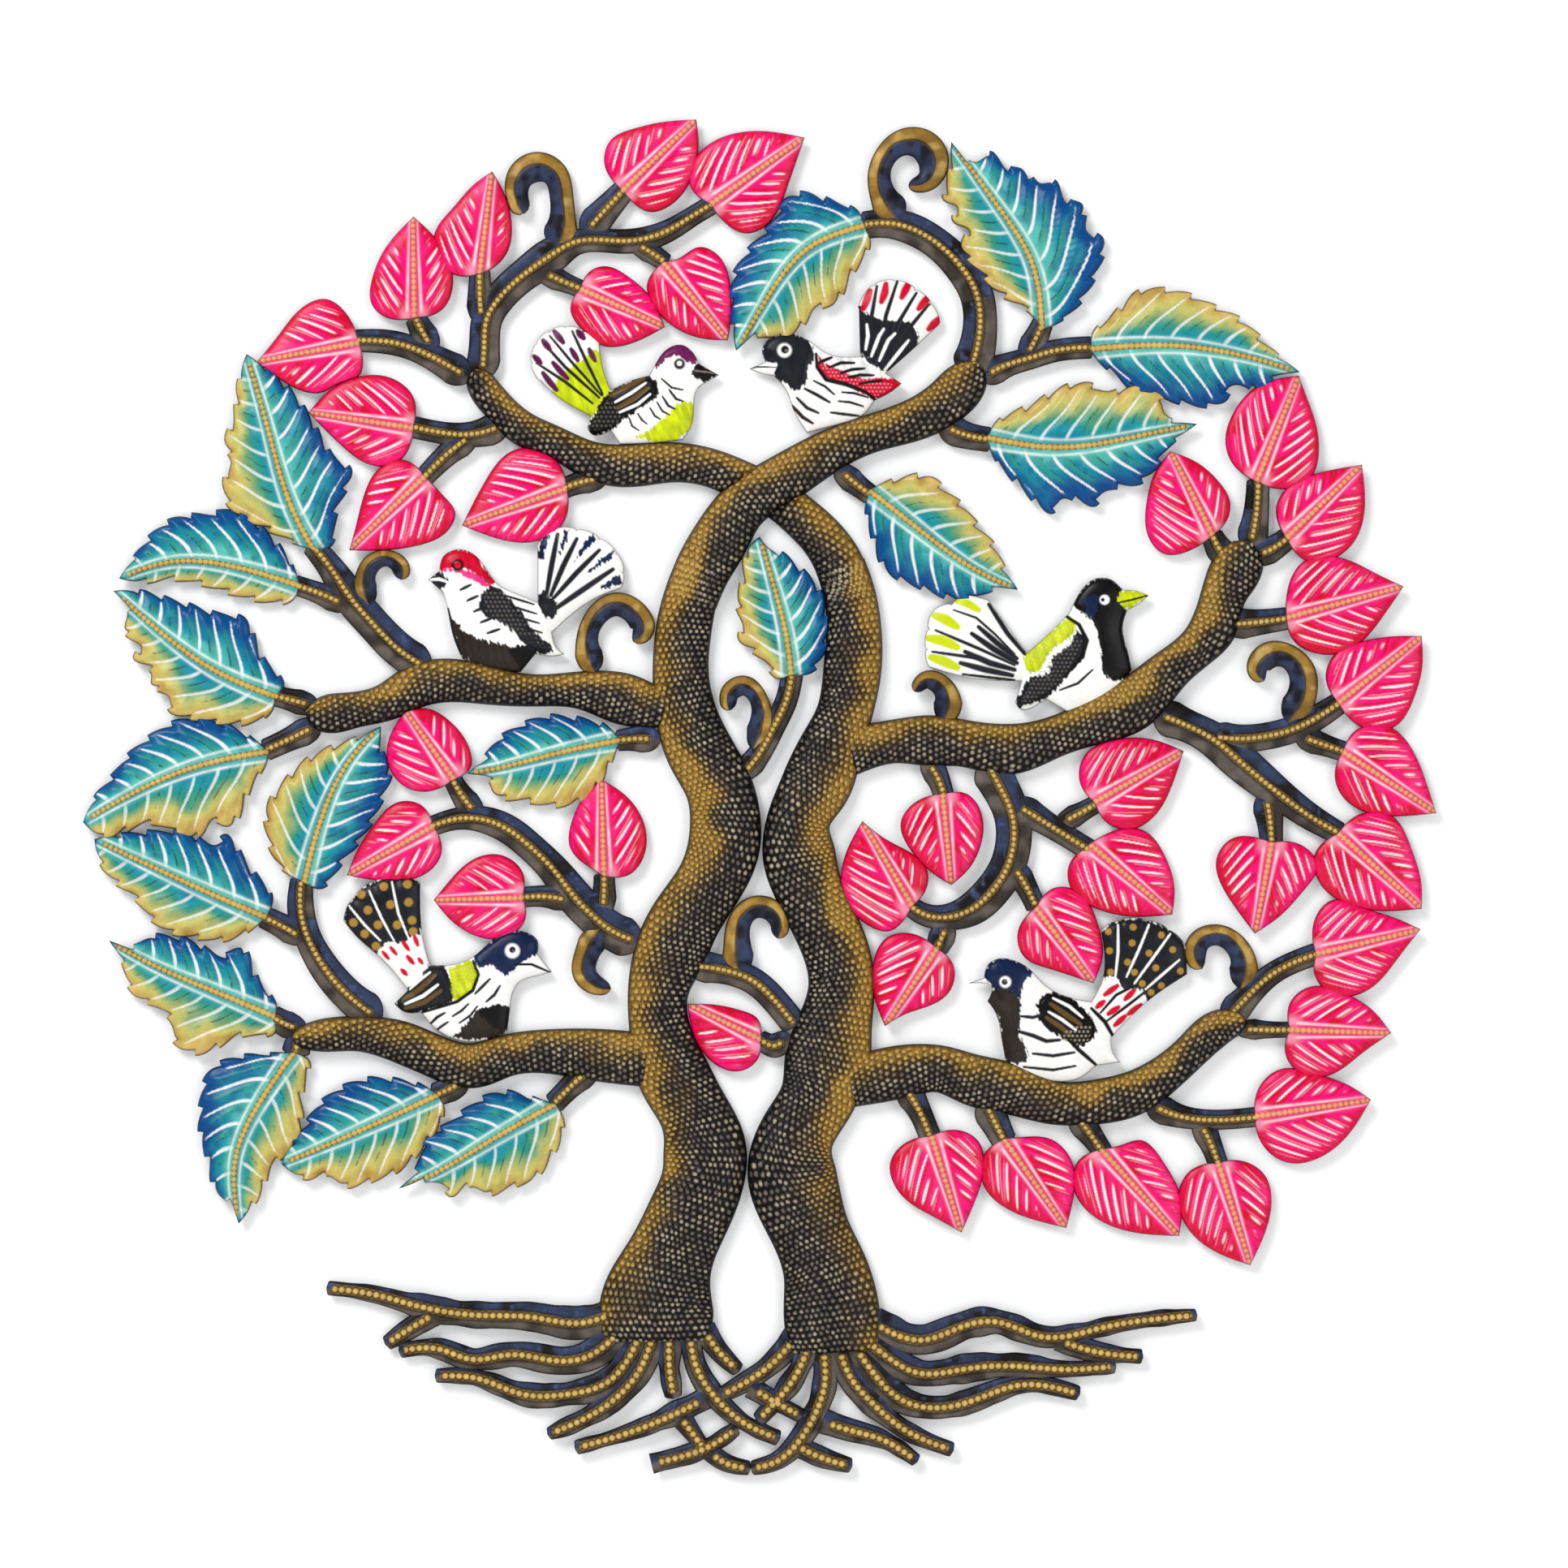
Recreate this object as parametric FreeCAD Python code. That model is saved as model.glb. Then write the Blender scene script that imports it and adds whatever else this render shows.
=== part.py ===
import FreeCAD, Part
import math
import os

# A tree-of-life wall hanging, cut from one sheet of recycled drum steel and raised with a hammer.
# Units are millimetres. X runs to the viewer's right, +Z is up, the wall is the plane y = 0, and the
# painted face looks along -Y. Outlines are laid out as (x, z) about the middle of the tree, and every
# shape is then moved so that the origin is the point where the wall nail carries the piece.

SHEET = 1.2                  # thickness of the drum steel
HANG_X, HANG_Z = -10.0, 97.0  # the nail, in the layout's own x and z
CUT_DEPTH = 40.0             # depth of the cutters that trim one element along its neighbour's edge
SMALLEST_SOLID = 30.0        # offcuts under this volume are waste from trimming

TRUNK_CROWN = 7.5            # how far each kind of element is raised off the wall
LIMB_CROWN = 5.5
TWIG_CROWN = 2.8
SCROLL_CROWN = 2.8
ROOT_CROWN = 2.6
PINK_CROWN = 3.0
TEAL_CROWN = 3.4
BIRD_CROWN = 4.0

RIM_POINTS = 12              # points per edge when the width of an outline is measured
TOOTH_BULGE = 0.07           # outward bulge of a leaf tooth or feather tip, as a share of its chord


# --- Outlines ------------------------------------------------------------------------------------

# Trunks as rows of z, left edge and right edge.
TRUNK_LEFT = [
    (-247, -70, -22), (-230, -71, -20), (-210, -61, -19), (-190, -51, -11), (-175, -44, -6.5),
    (-160, -43, -6), (-145, -46.5, -12), (-130, -55, -20), (-110, -58, -30), (-90, -58.5, -31),
    (-75, -57, -23), (-60, -51, -15), (-45, -40.5, -6), (-30, -33, 0), (-15, -31, 0.5),
    (0, -34.5, -2.5), (15, -43, -10), (30, -46.5, -18), (50, -47.5, -22.5), (70, -46, -21),
    (85, -42.5, -17.5), (97, -38, -12.5),
]
TRUNK_RIGHT = [
    (-252, 13, 53), (-235, 10.5, 53.5), (-215, 9.5, 48.5), (-200, 4.5, 42), (-185, -2.5, 37.5),
    (-170, -5.5, 33.5), (-155, -1.5, 34.5), (-140, 7, 43), (-120, 11, 50), (-105, 17, 50.5),
    (-90, 21.5, 51), (-75, 19, 49.5), (-60, 12, 44), (-45, 5, 37.5), (-30, 1, 33.5),
    (-15, 3, 32), (0, 8, 42), (15, 15.5, 46.5), (30, 24, 50), (50, 28, 54), (70, 29.5, 54),
    (85, 28, 51.5), (97, 24.5, 47.5),
]

# Limbs, twigs, scrolls and roots as centrelines of x, z and half-width.
LIMBS = {
    "limb_top_right": [
        (-25, 96, 12.5), (-18, 108, 12.7), (-8, 123, 11.5), (10, 135.5, 11), (30, 147.5, 9.6),
        (50, 156, 8.6), (70, 162.5, 9.6), (84, 171, 10.5), (93, 181, 9), (97, 187, 5),
    ],
    "limb_top_left": [
        (36, 96, 11), (29, 108, 10.2), (18, 119, 9.5), (6, 128, 9), (-8, 135, 8.8), (-20, 140, 8.6),
        (-40, 143, 9), (-60, 141.5, 9.5), (-75, 144, 8.5), (-92, 152.5, 7.2), (-105, 158, 7.8),
        (-115, 167, 7.2), (-123, 177, 6.8), (-126, 184, 5),
    ],
    "limb_mid_left": [
        (-42, 33, 8), (-60, 38, 11.5), (-80, 42, 8.4), (-100, 41.9, 7.2), (-120, 44.1, 8.6),
        (-140, 46.3, 9.8), (-155, 42.5, 9.5), (-165, 37, 8.5), (-180, 33.2, 8.1), (-192, 31.5, 8.5),
        (-201, 32, 5),
    ],
    "limb_mid_right": [
        (40, 15, 11), (60, 19.3, 9.8), (75, 19.6, 11.3), (90, 18.5, 10.5), (110, 15.8, 11.3),
        (130, 21, 9.3), (150, 28.5, 10.5), (165, 35.5, 12), (181, 50, 9.8), (193.5, 60.5, 9.2),
        (201.5, 70.5, 10.5), (205.5, 83.5, 10.1), (211, 95, 11.4), (218, 107, 8),
    ],
    "limb_low_left": [
        (-50, -122, 12), (-75, -119.5, 11.5), (-95, -118.2, 9.8), (-113, -120.3, 9.4),
        (-127, -124.5, 10), (-143, -120.8, 9.6), (-160, -113.8, 9.4), (-180, -110.3, 7.8),
        (-195, -111.2, 7.2), (-207, -112, 4),
    ],
    "limb_low_right": [
        (40, -132, 11), (65, -126.8, 11.7), (80, -126, 10.5), (95, -131, 11.5), (110, -134.5, 11.5),
        (130, -140.8, 9.8), (150, -140.5, 10), (165, -137, 10), (178, -129.5, 8.8),
        (192.5, -117, 8.1), (204, -107.5, 8), (215, -104.5, 5),
    ],
}

TWIGS = {
    "twigs_top_left": [
        [(-123, 180, 6), (-122, 196, 6.5), (-121, 206, 6.8), (-116, 215, 7), (-102, 228, 7.5),
         (-92, 235, 8), (-82, 240.5, 6), (-60, 241, 5.5), (-40, 246, 5), (-30, 252, 4.5), (-20, 258, 4.5)],
        [(-123, 204, 5), (-124, 216, 5), (-124, 229, 4.5)],
        [(-78, 244, 6), (-70, 253, 6), (-59, 265, 5)],
        [(-98, 228, 5), (-88, 223.5, 4), (-77, 219, 4)],
        [(-57, 241, 4.5), (-49, 236.5, 4), (-41, 231, 4)],
    ],
    "twigs_left_upper": [
        [(-128, 180, 6), (-140, 187, 6), (-150, 192, 5.5), (-160, 195.5, 5.5), (-180, 197, 5)],
        [(-144, 192, 5), (-149, 200, 5), (-153, 208, 4.5)],
        [(-112, 160, 6), (-127, 155.5, 5.5), (-140, 156, 5), (-155, 159, 5)],
        [(-126, 156, 5), (-138, 147, 5), (-150, 135, 4.5)],
        [(-68, 136, 5), (-78, 134.5, 4.5), (-88, 131, 4.5)],
    ],
    "twigs_top_right": [
        [(92, 180, 8), (96, 192, 8), (97.8, 205, 7.5), (96, 218, 7.5), (89, 230, 7.5), (78, 240.5, 7),
         (66, 247, 7), (56, 249, 6.5), (45, 248, 6)],
        [(98, 180, 6), (108, 185.5, 5), (119, 189, 5), (131, 192.5, 5), (148, 194, 5)],
        [(117, 188, 5), (122, 197, 5), (126, 206, 4.5)],
        [(80, 160, 6), (90, 155.5, 5.5), (103, 153, 5.5)],
        [(34, 141, 5), (42, 134, 4.5), (50, 128, 4.5)],
    ],
    "twigs_mid_left": [
        [(-146, 51, 6), (-160, 60, 7.5), (-171, 71, 7.5), (-182, 84, 7.5), (-190, 96, 6), (-199, 107, 5)],
        [(-182, 79, 5), (-194, 84.5, 4.5), (-207, 89, 4.5)],
        [(-196, 34.5, 5), (-207, 37.5, 4.5), (-217, 40, 4.5)],
        [(-195, 27, 5.5), (-207, 21, 5), (-220, 15, 5)],
        [(-44, 20, 6), (-54, 20.5, 5), (-64, 19.5, 4.5)],
        [(-9, 3, 4.5), (0, 14, 4.8), (7, 27, 5), (12, 38, 5), (14.5, 50, 5)],
    ],
    "twigs_centre_right": [
        [(73, 12, 5), (79, 3, 4.5), (82, -6, 4.5)],
        [(100, 12, 8), (106, 0, 8), (111.5, -12, 8), (112.5, -26, 8), (109.5, -37, 8), (103, -47, 8),
         (94, -55, 7.5), (84, -58.5, 6), (72, -57, 5), (66, -53, 4.5)],
        [(111, -34, 5), (117, -43, 4.5), (123, -55, 4.5)],
        [(84, -60, 5), (81, -67, 5), (78, -74, 4.5)],
        [(112, -8, 6), (123, -14.5, 5.5), (135, -22, 5), (148, -30, 5)],
        [(132, -18, 4.5), (141, -13, 4), (150, -8, 4)],
    ],
    "twigs_mid_right": [
        [(217, 104, 6), (220, 119, 5.5), (221, 136, 5)],
        [(209, 98, 6), (203.5, 105, 5), (200, 112, 4.5)],
        [(218, 101, 6), (227, 104.5, 5), (236, 111, 5)],
        [(206, 71, 6), (220, 72, 5.5), (235, 74, 5)],
        [(175, 32, 8), (190, 26, 7), (202, 19.5, 8), (211, 12, 8.5), (221, 3.5, 8), (231, -4.5, 7),
         (244, -14, 6), (258, -22, 5)],
        [(224, -3, 6), (226, -14, 5.5), (227, -27, 5)],
        [(198, 22, 6), (210, 20.5, 6), (224, 21.5, 6), (236, 24.5, 6), (258, 37, 5)],
        [(238, 22, 5), (248, 18.5, 4.5), (260, 14.5, 4.5)],
    ],
    "twigs_low_left": [
        [(-168, -104, 7), (-178, -97, 7), (-187, -88.5, 7), (-195.5, -77, 6.5), (-200.5, -67, 6),
         (-203.5, -55, 6), (-203, -41, 5)],
        [(-201, -69, 5), (-210, -63.5, 5), (-221, -58, 5)],
        [(-201, -108.5, 5), (-209, -106.5, 5), (-217, -102, 5)],
        [(-204, -110, 6), (-206, -120, 5)],
        [(-130, -130, 6), (-137, -134.5, 5), (-145, -138, 5)],
        [(-73, -124, 6), (-82, -132, 5), (-92, -142, 5)],
    ],
    "twigs_centre_left": [
        [(-52, -70, 7), (-64, -65.5, 8), (-74, -58, 8), (-83, -48.5, 8), (-91, -38, 7), (-101, -28, 6.5),
         (-112, -19.5, 6.5), (-122, -15.5, 6), (-134, -15, 5), (-147, -19, 4.5)],
        [(-82, -52, 5), (-94, -49.5, 4.5), (-107, -50, 4.5)],
        [(-70, -58, 5), (-69, -49, 4.5), (-69, -39, 4.5)],
        [(-124, -14, 5), (-131, -6, 4.5), (-137, 4, 4)],
    ],
    "twigs_centre": [
        [(-32, -80, 6), (-22, -81, 6), (-12, -83, 6), (-2, -87.5, 6), (8, -97, 6), (16, -107, 6)],
        [(13, -110, 5), (7, -115.5, 4.5), (-1, -112, 4)],
    ],
    "twigs_low_right": [
        [(206, -105, 6), (216, -94, 5.5), (227, -84, 5), (248, -74.5, 5)],
        [(211, -108, 4), (222, -108.5, 3.5), (237, -108.5, 3.5)],
        [(172, -141, 6), (185, -146.5, 5), (200, -148.5, 4.5), (222, -147, 4.5)],
        [(194, -148, 5), (199, -157, 4.5), (204, -170, 4.5)],
        [(63, -132, 6), (70, -143, 5), (76, -157, 5)],
        [(99, -139, 6.5), (104, -149, 6), (109, -159, 5.5)],
        [(139, -145, 6), (146, -154, 5), (153, -164, 4.5)],
    ],
}

SCROLLS = {
    "scrolls_top": [
        [(-90, 238, 8), (-87.5, 250, 5.5), (-88, 262, 5.2), (-91, 271, 5.8), (-99, 274, 6.7),
         (-106.5, 269, 6), (-107.5, 261, 5), (-105, 253, 4.5)],
        [(62, 250, 8), (55, 261, 5.5), (53, 270, 5), (56, 279, 5), (64, 285, 6), (72, 284, 7),
         (77, 277, 7), (74, 268, 5), (66, 265.5, 2.5)],
    ],
    "scrolls_mid": [
        [(-173, 80, 5), (-175, 91, 3.8), (-172, 98, 4), (-165, 100.5, 3.7), (-159.5, 97, 4),
         (-158.5, 91, 3.5)],
        [(-73, 50, 6), (-76.5, 63, 4.5), (-73, 74, 4.7), (-64, 80, 5.3), (-55, 76, 5.6), (-52, 68, 5),
         (-56, 63.5, 2.5)],
        [(-3, 16, 4), (1, 30, 4.5), (-1, 39, 4), (-7, 44, 4.5), (-13, 41, 4.3), (-13.5, 33, 3.5)],
        [(81, 28, 6), (83.5, 37, 5), (80.5, 44, 4.5), (74, 46.5, 4), (68.5, 41.5, 2.5)],
        [(234, 28, 6), (240.5, 40, 6), (240.5, 50, 6), (233, 57.5, 5.5), (225, 57, 6), (221, 50, 4.6),
         (223.5, 46, 2.5)],
    ],
    "scrolls_low": [
        [(213, -90, 5.5), (214.5, -78, 5), (210, -70, 4.8), (202, -66.5, 4.7), (194.5, -70, 5),
         (193.5, -77, 4.6), (196, -81.5, 3)],
        [(-70, -63, 5), (-77, -76, 5), (-77.5, -84, 5.2), (-72, -89, 4.3), (-66, -90.5, 2.5)],
        [(-9, -84, 6), (-10, -70, 5.5), (-9, -61, 5.2), (-3, -54.5, 5), (5, -55.5, 5), (9, -62, 4.3),
         (8, -68, 3.5)],
    ],
}

ROOT_TIP = 3.2               # half-width of a root strand at its blunt tip

# Root strands: the half-width where the strand starts, then its centreline.
ROOTS = {
    "roots_left": [
        (7.0, [(-62, -233), (-80, -238.5), (-100, -236), (-125, -235), (-155, -230), (-170, -226),
               (-192, -223)]),
        (5.0, [(-143, -234), (-155, -241), (-166, -248)]),
        (7.0, [(-58, -237), (-68, -248), (-78, -254), (-92, -255), (-110, -252.5), (-128, -254.5),
         (-142, -250), (-160, -251)]),
        (6.8, [(-52, -240), (-58, -254), (-68, -265), (-85, -270), (-105, -270), (-125, -263), (-144, -262)]),
        (6.2, [(-47, -243), (-52, -257), (-64, -272), (-76, -280), (-94, -288)]),
    ],
    "roots_centre": [
        (5.6, [(-40, -243), (-40, -258), (-38, -272)]),
        (5.2, [(-24, -272), (-38, -279), (-55, -286), (-82, -294)]),
        (5.6, [(-31, -243), (-28, -258), (-20, -271), (-8, -282), (9, -290)]),
        (5.4, [(-25, -241), (-19, -250), (-9, -260)]),
        (5.6, [(16, -245), (6, -256), (-5, -264), (-18, -271)]),
        (5.4, [(22, -247), (17, -260), (10, -270), (-1, -282)]),
        (6.0, [(28, -249), (29, -264), (25, -278), (18, -290), (8, -299.5), (-4, -303)]),
        (5.0, [(-48, -301), (-36, -298), (-24, -294), (-10, -285)]),
        (4.6, [(-23, -295), (-15, -300.5), (-4, -303)]),
        (5.0, [(15, -292), (26, -297.5), (41, -302)]),
        (4.6, [(-36, -279), (-30, -287), (-24, -295)]),
        (5.0, [(-4, -267), (6, -273), (19, -280)]),
    ],
    "roots_right": [
        (6.2, [(35, -249), (40, -262), (50, -274), (63, -285), (86, -295)]),
        (5.4, [(28, -282), (40, -286), (54, -290), (70, -300)]),
        (6.8, [(42, -249), (50, -260), (62, -272), (80, -276), (98, -271.5), (115, -266), (142, -270)]),
        (7.0, [(47, -246), (56, -253), (70, -260.5), (90, -259), (112, -257.5), (135, -259), (158, -257.5)]),
        (5.0, [(132, -246), (146, -250.5), (170, -253.5)]),
        (7.2, [(50, -238), (60, -243.5), (72, -246), (90, -240), (105, -238), (125, -244.5), (150, -241),
         (194, -235)]),
    ],
}

# Heart leaves: base, tip, then the points of one side and of the other side from base to tip.
PINK_LEAVES = {
    "pink_leaves_top_left": [
        ((-177, 196), (-223, 187.5), [(-184, 210), (-192.5, 215.5), (-201, 213), (-213, 200)],
         [(-178, 181), (-186, 178), (-194, 174), (-210, 178)]),
        ((-153, 206.5), (-153.5, 252), [(-165, 207), (-172, 213), (-172, 224), (-166, 238)],
         [(-141, 210.5), (-136, 226), (-140, 237), (-145, 244)]),
        ((-153, 158), (-200, 165), [(-153.5, 172), (-165, 181), (-178, 181), (-192, 174)],
         [(-156, 148), (-162, 142), (-173, 142), (-185, 150)]),
        ((-148, 137), (-182, 104), [(-157, 144), (-168, 141), (-175, 130), (-179, 115)],
         [(-139, 127), (-135, 121), (-138, 113), (-152, 106), (-166, 104)]),
    ],
    "pink_leaves_top": [
        ((-124, 226), (-118.5, 272), [(-135, 226), (-144.5, 243), (-136, 256), (-127, 266)],
         [(-117, 230), (-111.5, 237), (-110, 250), (-113.5, 263)]),
        ((-61, 263), (-28, 295), [(-69, 276), (-66, 286), (-56, 291), (-43, 294)],
         [(-48, 254), (-37, 259), (-31, 267), (-27, 282)]),
        ((-22, 257), (20, 287), [(-31, 266), (-31, 273), (-24, 283), (0, 290)],
         [(-14, 248), (-6, 244.5), (3, 248), (12, 264)]),
        ((-80, 220), (-42, 203), [(-75, 228), (-68, 230), (-59, 226), (-48, 216)],
         [(-84, 211), (-80, 203), (-69, 194.5), (-56, 196)]),
        ((-43, 232), (-14, 197), [(-50, 222), (-47, 212), (-38, 203), (-26, 198)],
         [(-36, 233.5), (-27, 238.5), (-18, 234.5), (-13, 222), (-12.5, 209)]),
        ((-85, 131.5), (-132, 115), [(-88, 141), (-98, 149), (-110, 148), (-121, 136)],
         [(-86, 118), (-92, 111), (-102, 107.5), (-119, 110)]),
    ],
    "pink_leaves_right": [
        ((220, 134), (239, 181.5), [(210, 142), (206.5, 152), (209, 163), (221, 177)],
         [(232, 131), (245, 137), (248, 147), (247, 159), (243, 171)]),
        ((201, 110), (182, 148), [(190, 103.5), (179, 102.5), (172, 111), (171.5, 125), (175, 138)],
         [(208, 119), (208.5, 126), (204, 134), (194, 143)]),
        ((233, 109), (267, 142), [(229, 123), (234, 132), (248, 138.5)],
         [(242, 99.5), (256, 101), (265, 110), (268.5, 126)]),
        ((233, 74), (285.5, 88), [(235, 90), (241, 99), (257, 101), (273, 94)],
         [(236, 65), (248, 58), (260, 59), (276, 74)]),
        ((256, 36), (293.5, 66), [(251, 48), (255, 58), (268, 64), (282, 66)],
         [(268, 25), (282, 26), (290, 38), (294, 54)]),
        ((258, 15), (300, -12.5), [(264, 24), (279, 26), (288, 18), (295, 3)],
         [(255, 5), (257, -3), (268, -12), (284, -14)]),
        ((256, -21), (293.5, -55), [(266, -13), (280, -13.5), (289, -28), (293.5, -44)],
         [(246, -31), (248, -43), (258, -52), (277, -56)]),
    ],
    "pink_leaves_centre_right": [
        ((148, -8), (188, 15), [(142, 1), (144, 13), (159, 20.5), (175, 20)],
         [(153, -16), (164, -20), (174, -15), (183, 0)]),
        ((81, -3.5), (85, -44.5), [(70, -7), (62.5, -17), (67, -29), (77, -39.5)],
         [(92, -4), (98.5, -13), (98, -27), (93, -37)]),
        ((68, -54), (45.5, -16), [(57, -65), (46, -61), (37, -50), (37, -34)],
         [(74, -46), (74, -37), (67, -30), (56, -24)]),
        ((79, -72), (55.5, -107), [(68, -66), (56, -68), (50.5, -78), (51, -95)],
         [(86, -80), (84, -92), (74, -98.5), (64, -102)]),
        ((122, -54), (148, -88), [(114.5, -65), (117, -76), (128, -81.5), (139, -85)],
         [(131, -45.5), (141, -47), (149.5, -60), (152, -77)]),
        ((146, -26), (183, -57.5), [(158, -20), (170, -20), (180, -32), (184, -46)],
         [(137, -36), (138, -46), (152, -56), (172, -58.5)]),
        ((227, -25), (219.5, -66), [(209, -24), (202.5, -33), (205, -45), (212, -56)],
         [(240, -26.5), (247.5, -36), (242, -46), (231, -58)]),
    ],
    "pink_leaves_low_right": [
        ((246, -75), (293, -64), [(246, -60), (254, -51), (267, -54), (282, -59)],
         [(246, -84), (254, -93), (268, -92), (283, -77)]),
        ((234.5, -108.5), (280, -110), [(235, -97), (244, -89.5), (259, -92), (272, -100)],
         [(233, -119), (240, -128), (252, -129), (266, -120)]),
        ((219, -147), (271, -139.5), [(221, -135), (231, -126), (247, -128), (261, -133)],
         [(222, -158), (234, -167.5), (249, -165), (262, -154)]),
        ((203, -167), (217.5, -213), [(191, -171), (185.5, -182), (190, -197), (204, -208)],
         [(213, -166.5), (224, -173), (227, -185), (224, -199)]),
        ((151, -161), (186, -200), [(141, -167), (139.5, -180), (149, -192), (166, -198.5)],
         [(159, -160), (169, -157.5), (179, -167), (187, -184)]),
        ((108, -156.5), (136, -196.5), [(100, -163), (99, -177), (108, -187), (122, -193)],
         [(117, -156), (129, -157), (138.5, -167), (139, -184)]),
        ((76, -155), (89.5, -198.5), [(65, -158.5), (58, -167), (62, -181), (76, -191)],
         [(88, -153), (97, -158), (99.5, -170), (95, -186)]),
    ],
    "pink_leaves_centre_left": [
        ((-135, 2), (-157, 33), [(-147, -3), (-157, -1), (-165, 10), (-163, 24)],
         [(-128, 8), (-129, 17), (-137, 28), (-148, 34)]),
        ((-144, -18), (-183, -40), [(-150, -9), (-160, -7.5), (-170, -16), (-178, -28)],
         [(-141, -30), (-149, -40), (-160, -42.5), (-173, -42)]),
        ((-69, -41), (-70, 2.5), [(-75, -37), (-84, -28), (-83, -15), (-77, -4)],
         [(-58, -40), (-50.5, -29), (-52, -15), (-59, -5)]),
        ((-104.5, -50), (-144.5, -51), [(-105, -39), (-115, -31), (-127, -33), (-138, -43)],
         [(-104, -60), (-114, -68), (-126, -67), (-138, -59)]),
        ((1, -113), (-32, -97), [(-1, -103.5), (-8, -100), (-19, -97.5)],
         [(-1, -122), (-9, -127), (-21, -123), (-30, -109)]),
    ],
}

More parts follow.
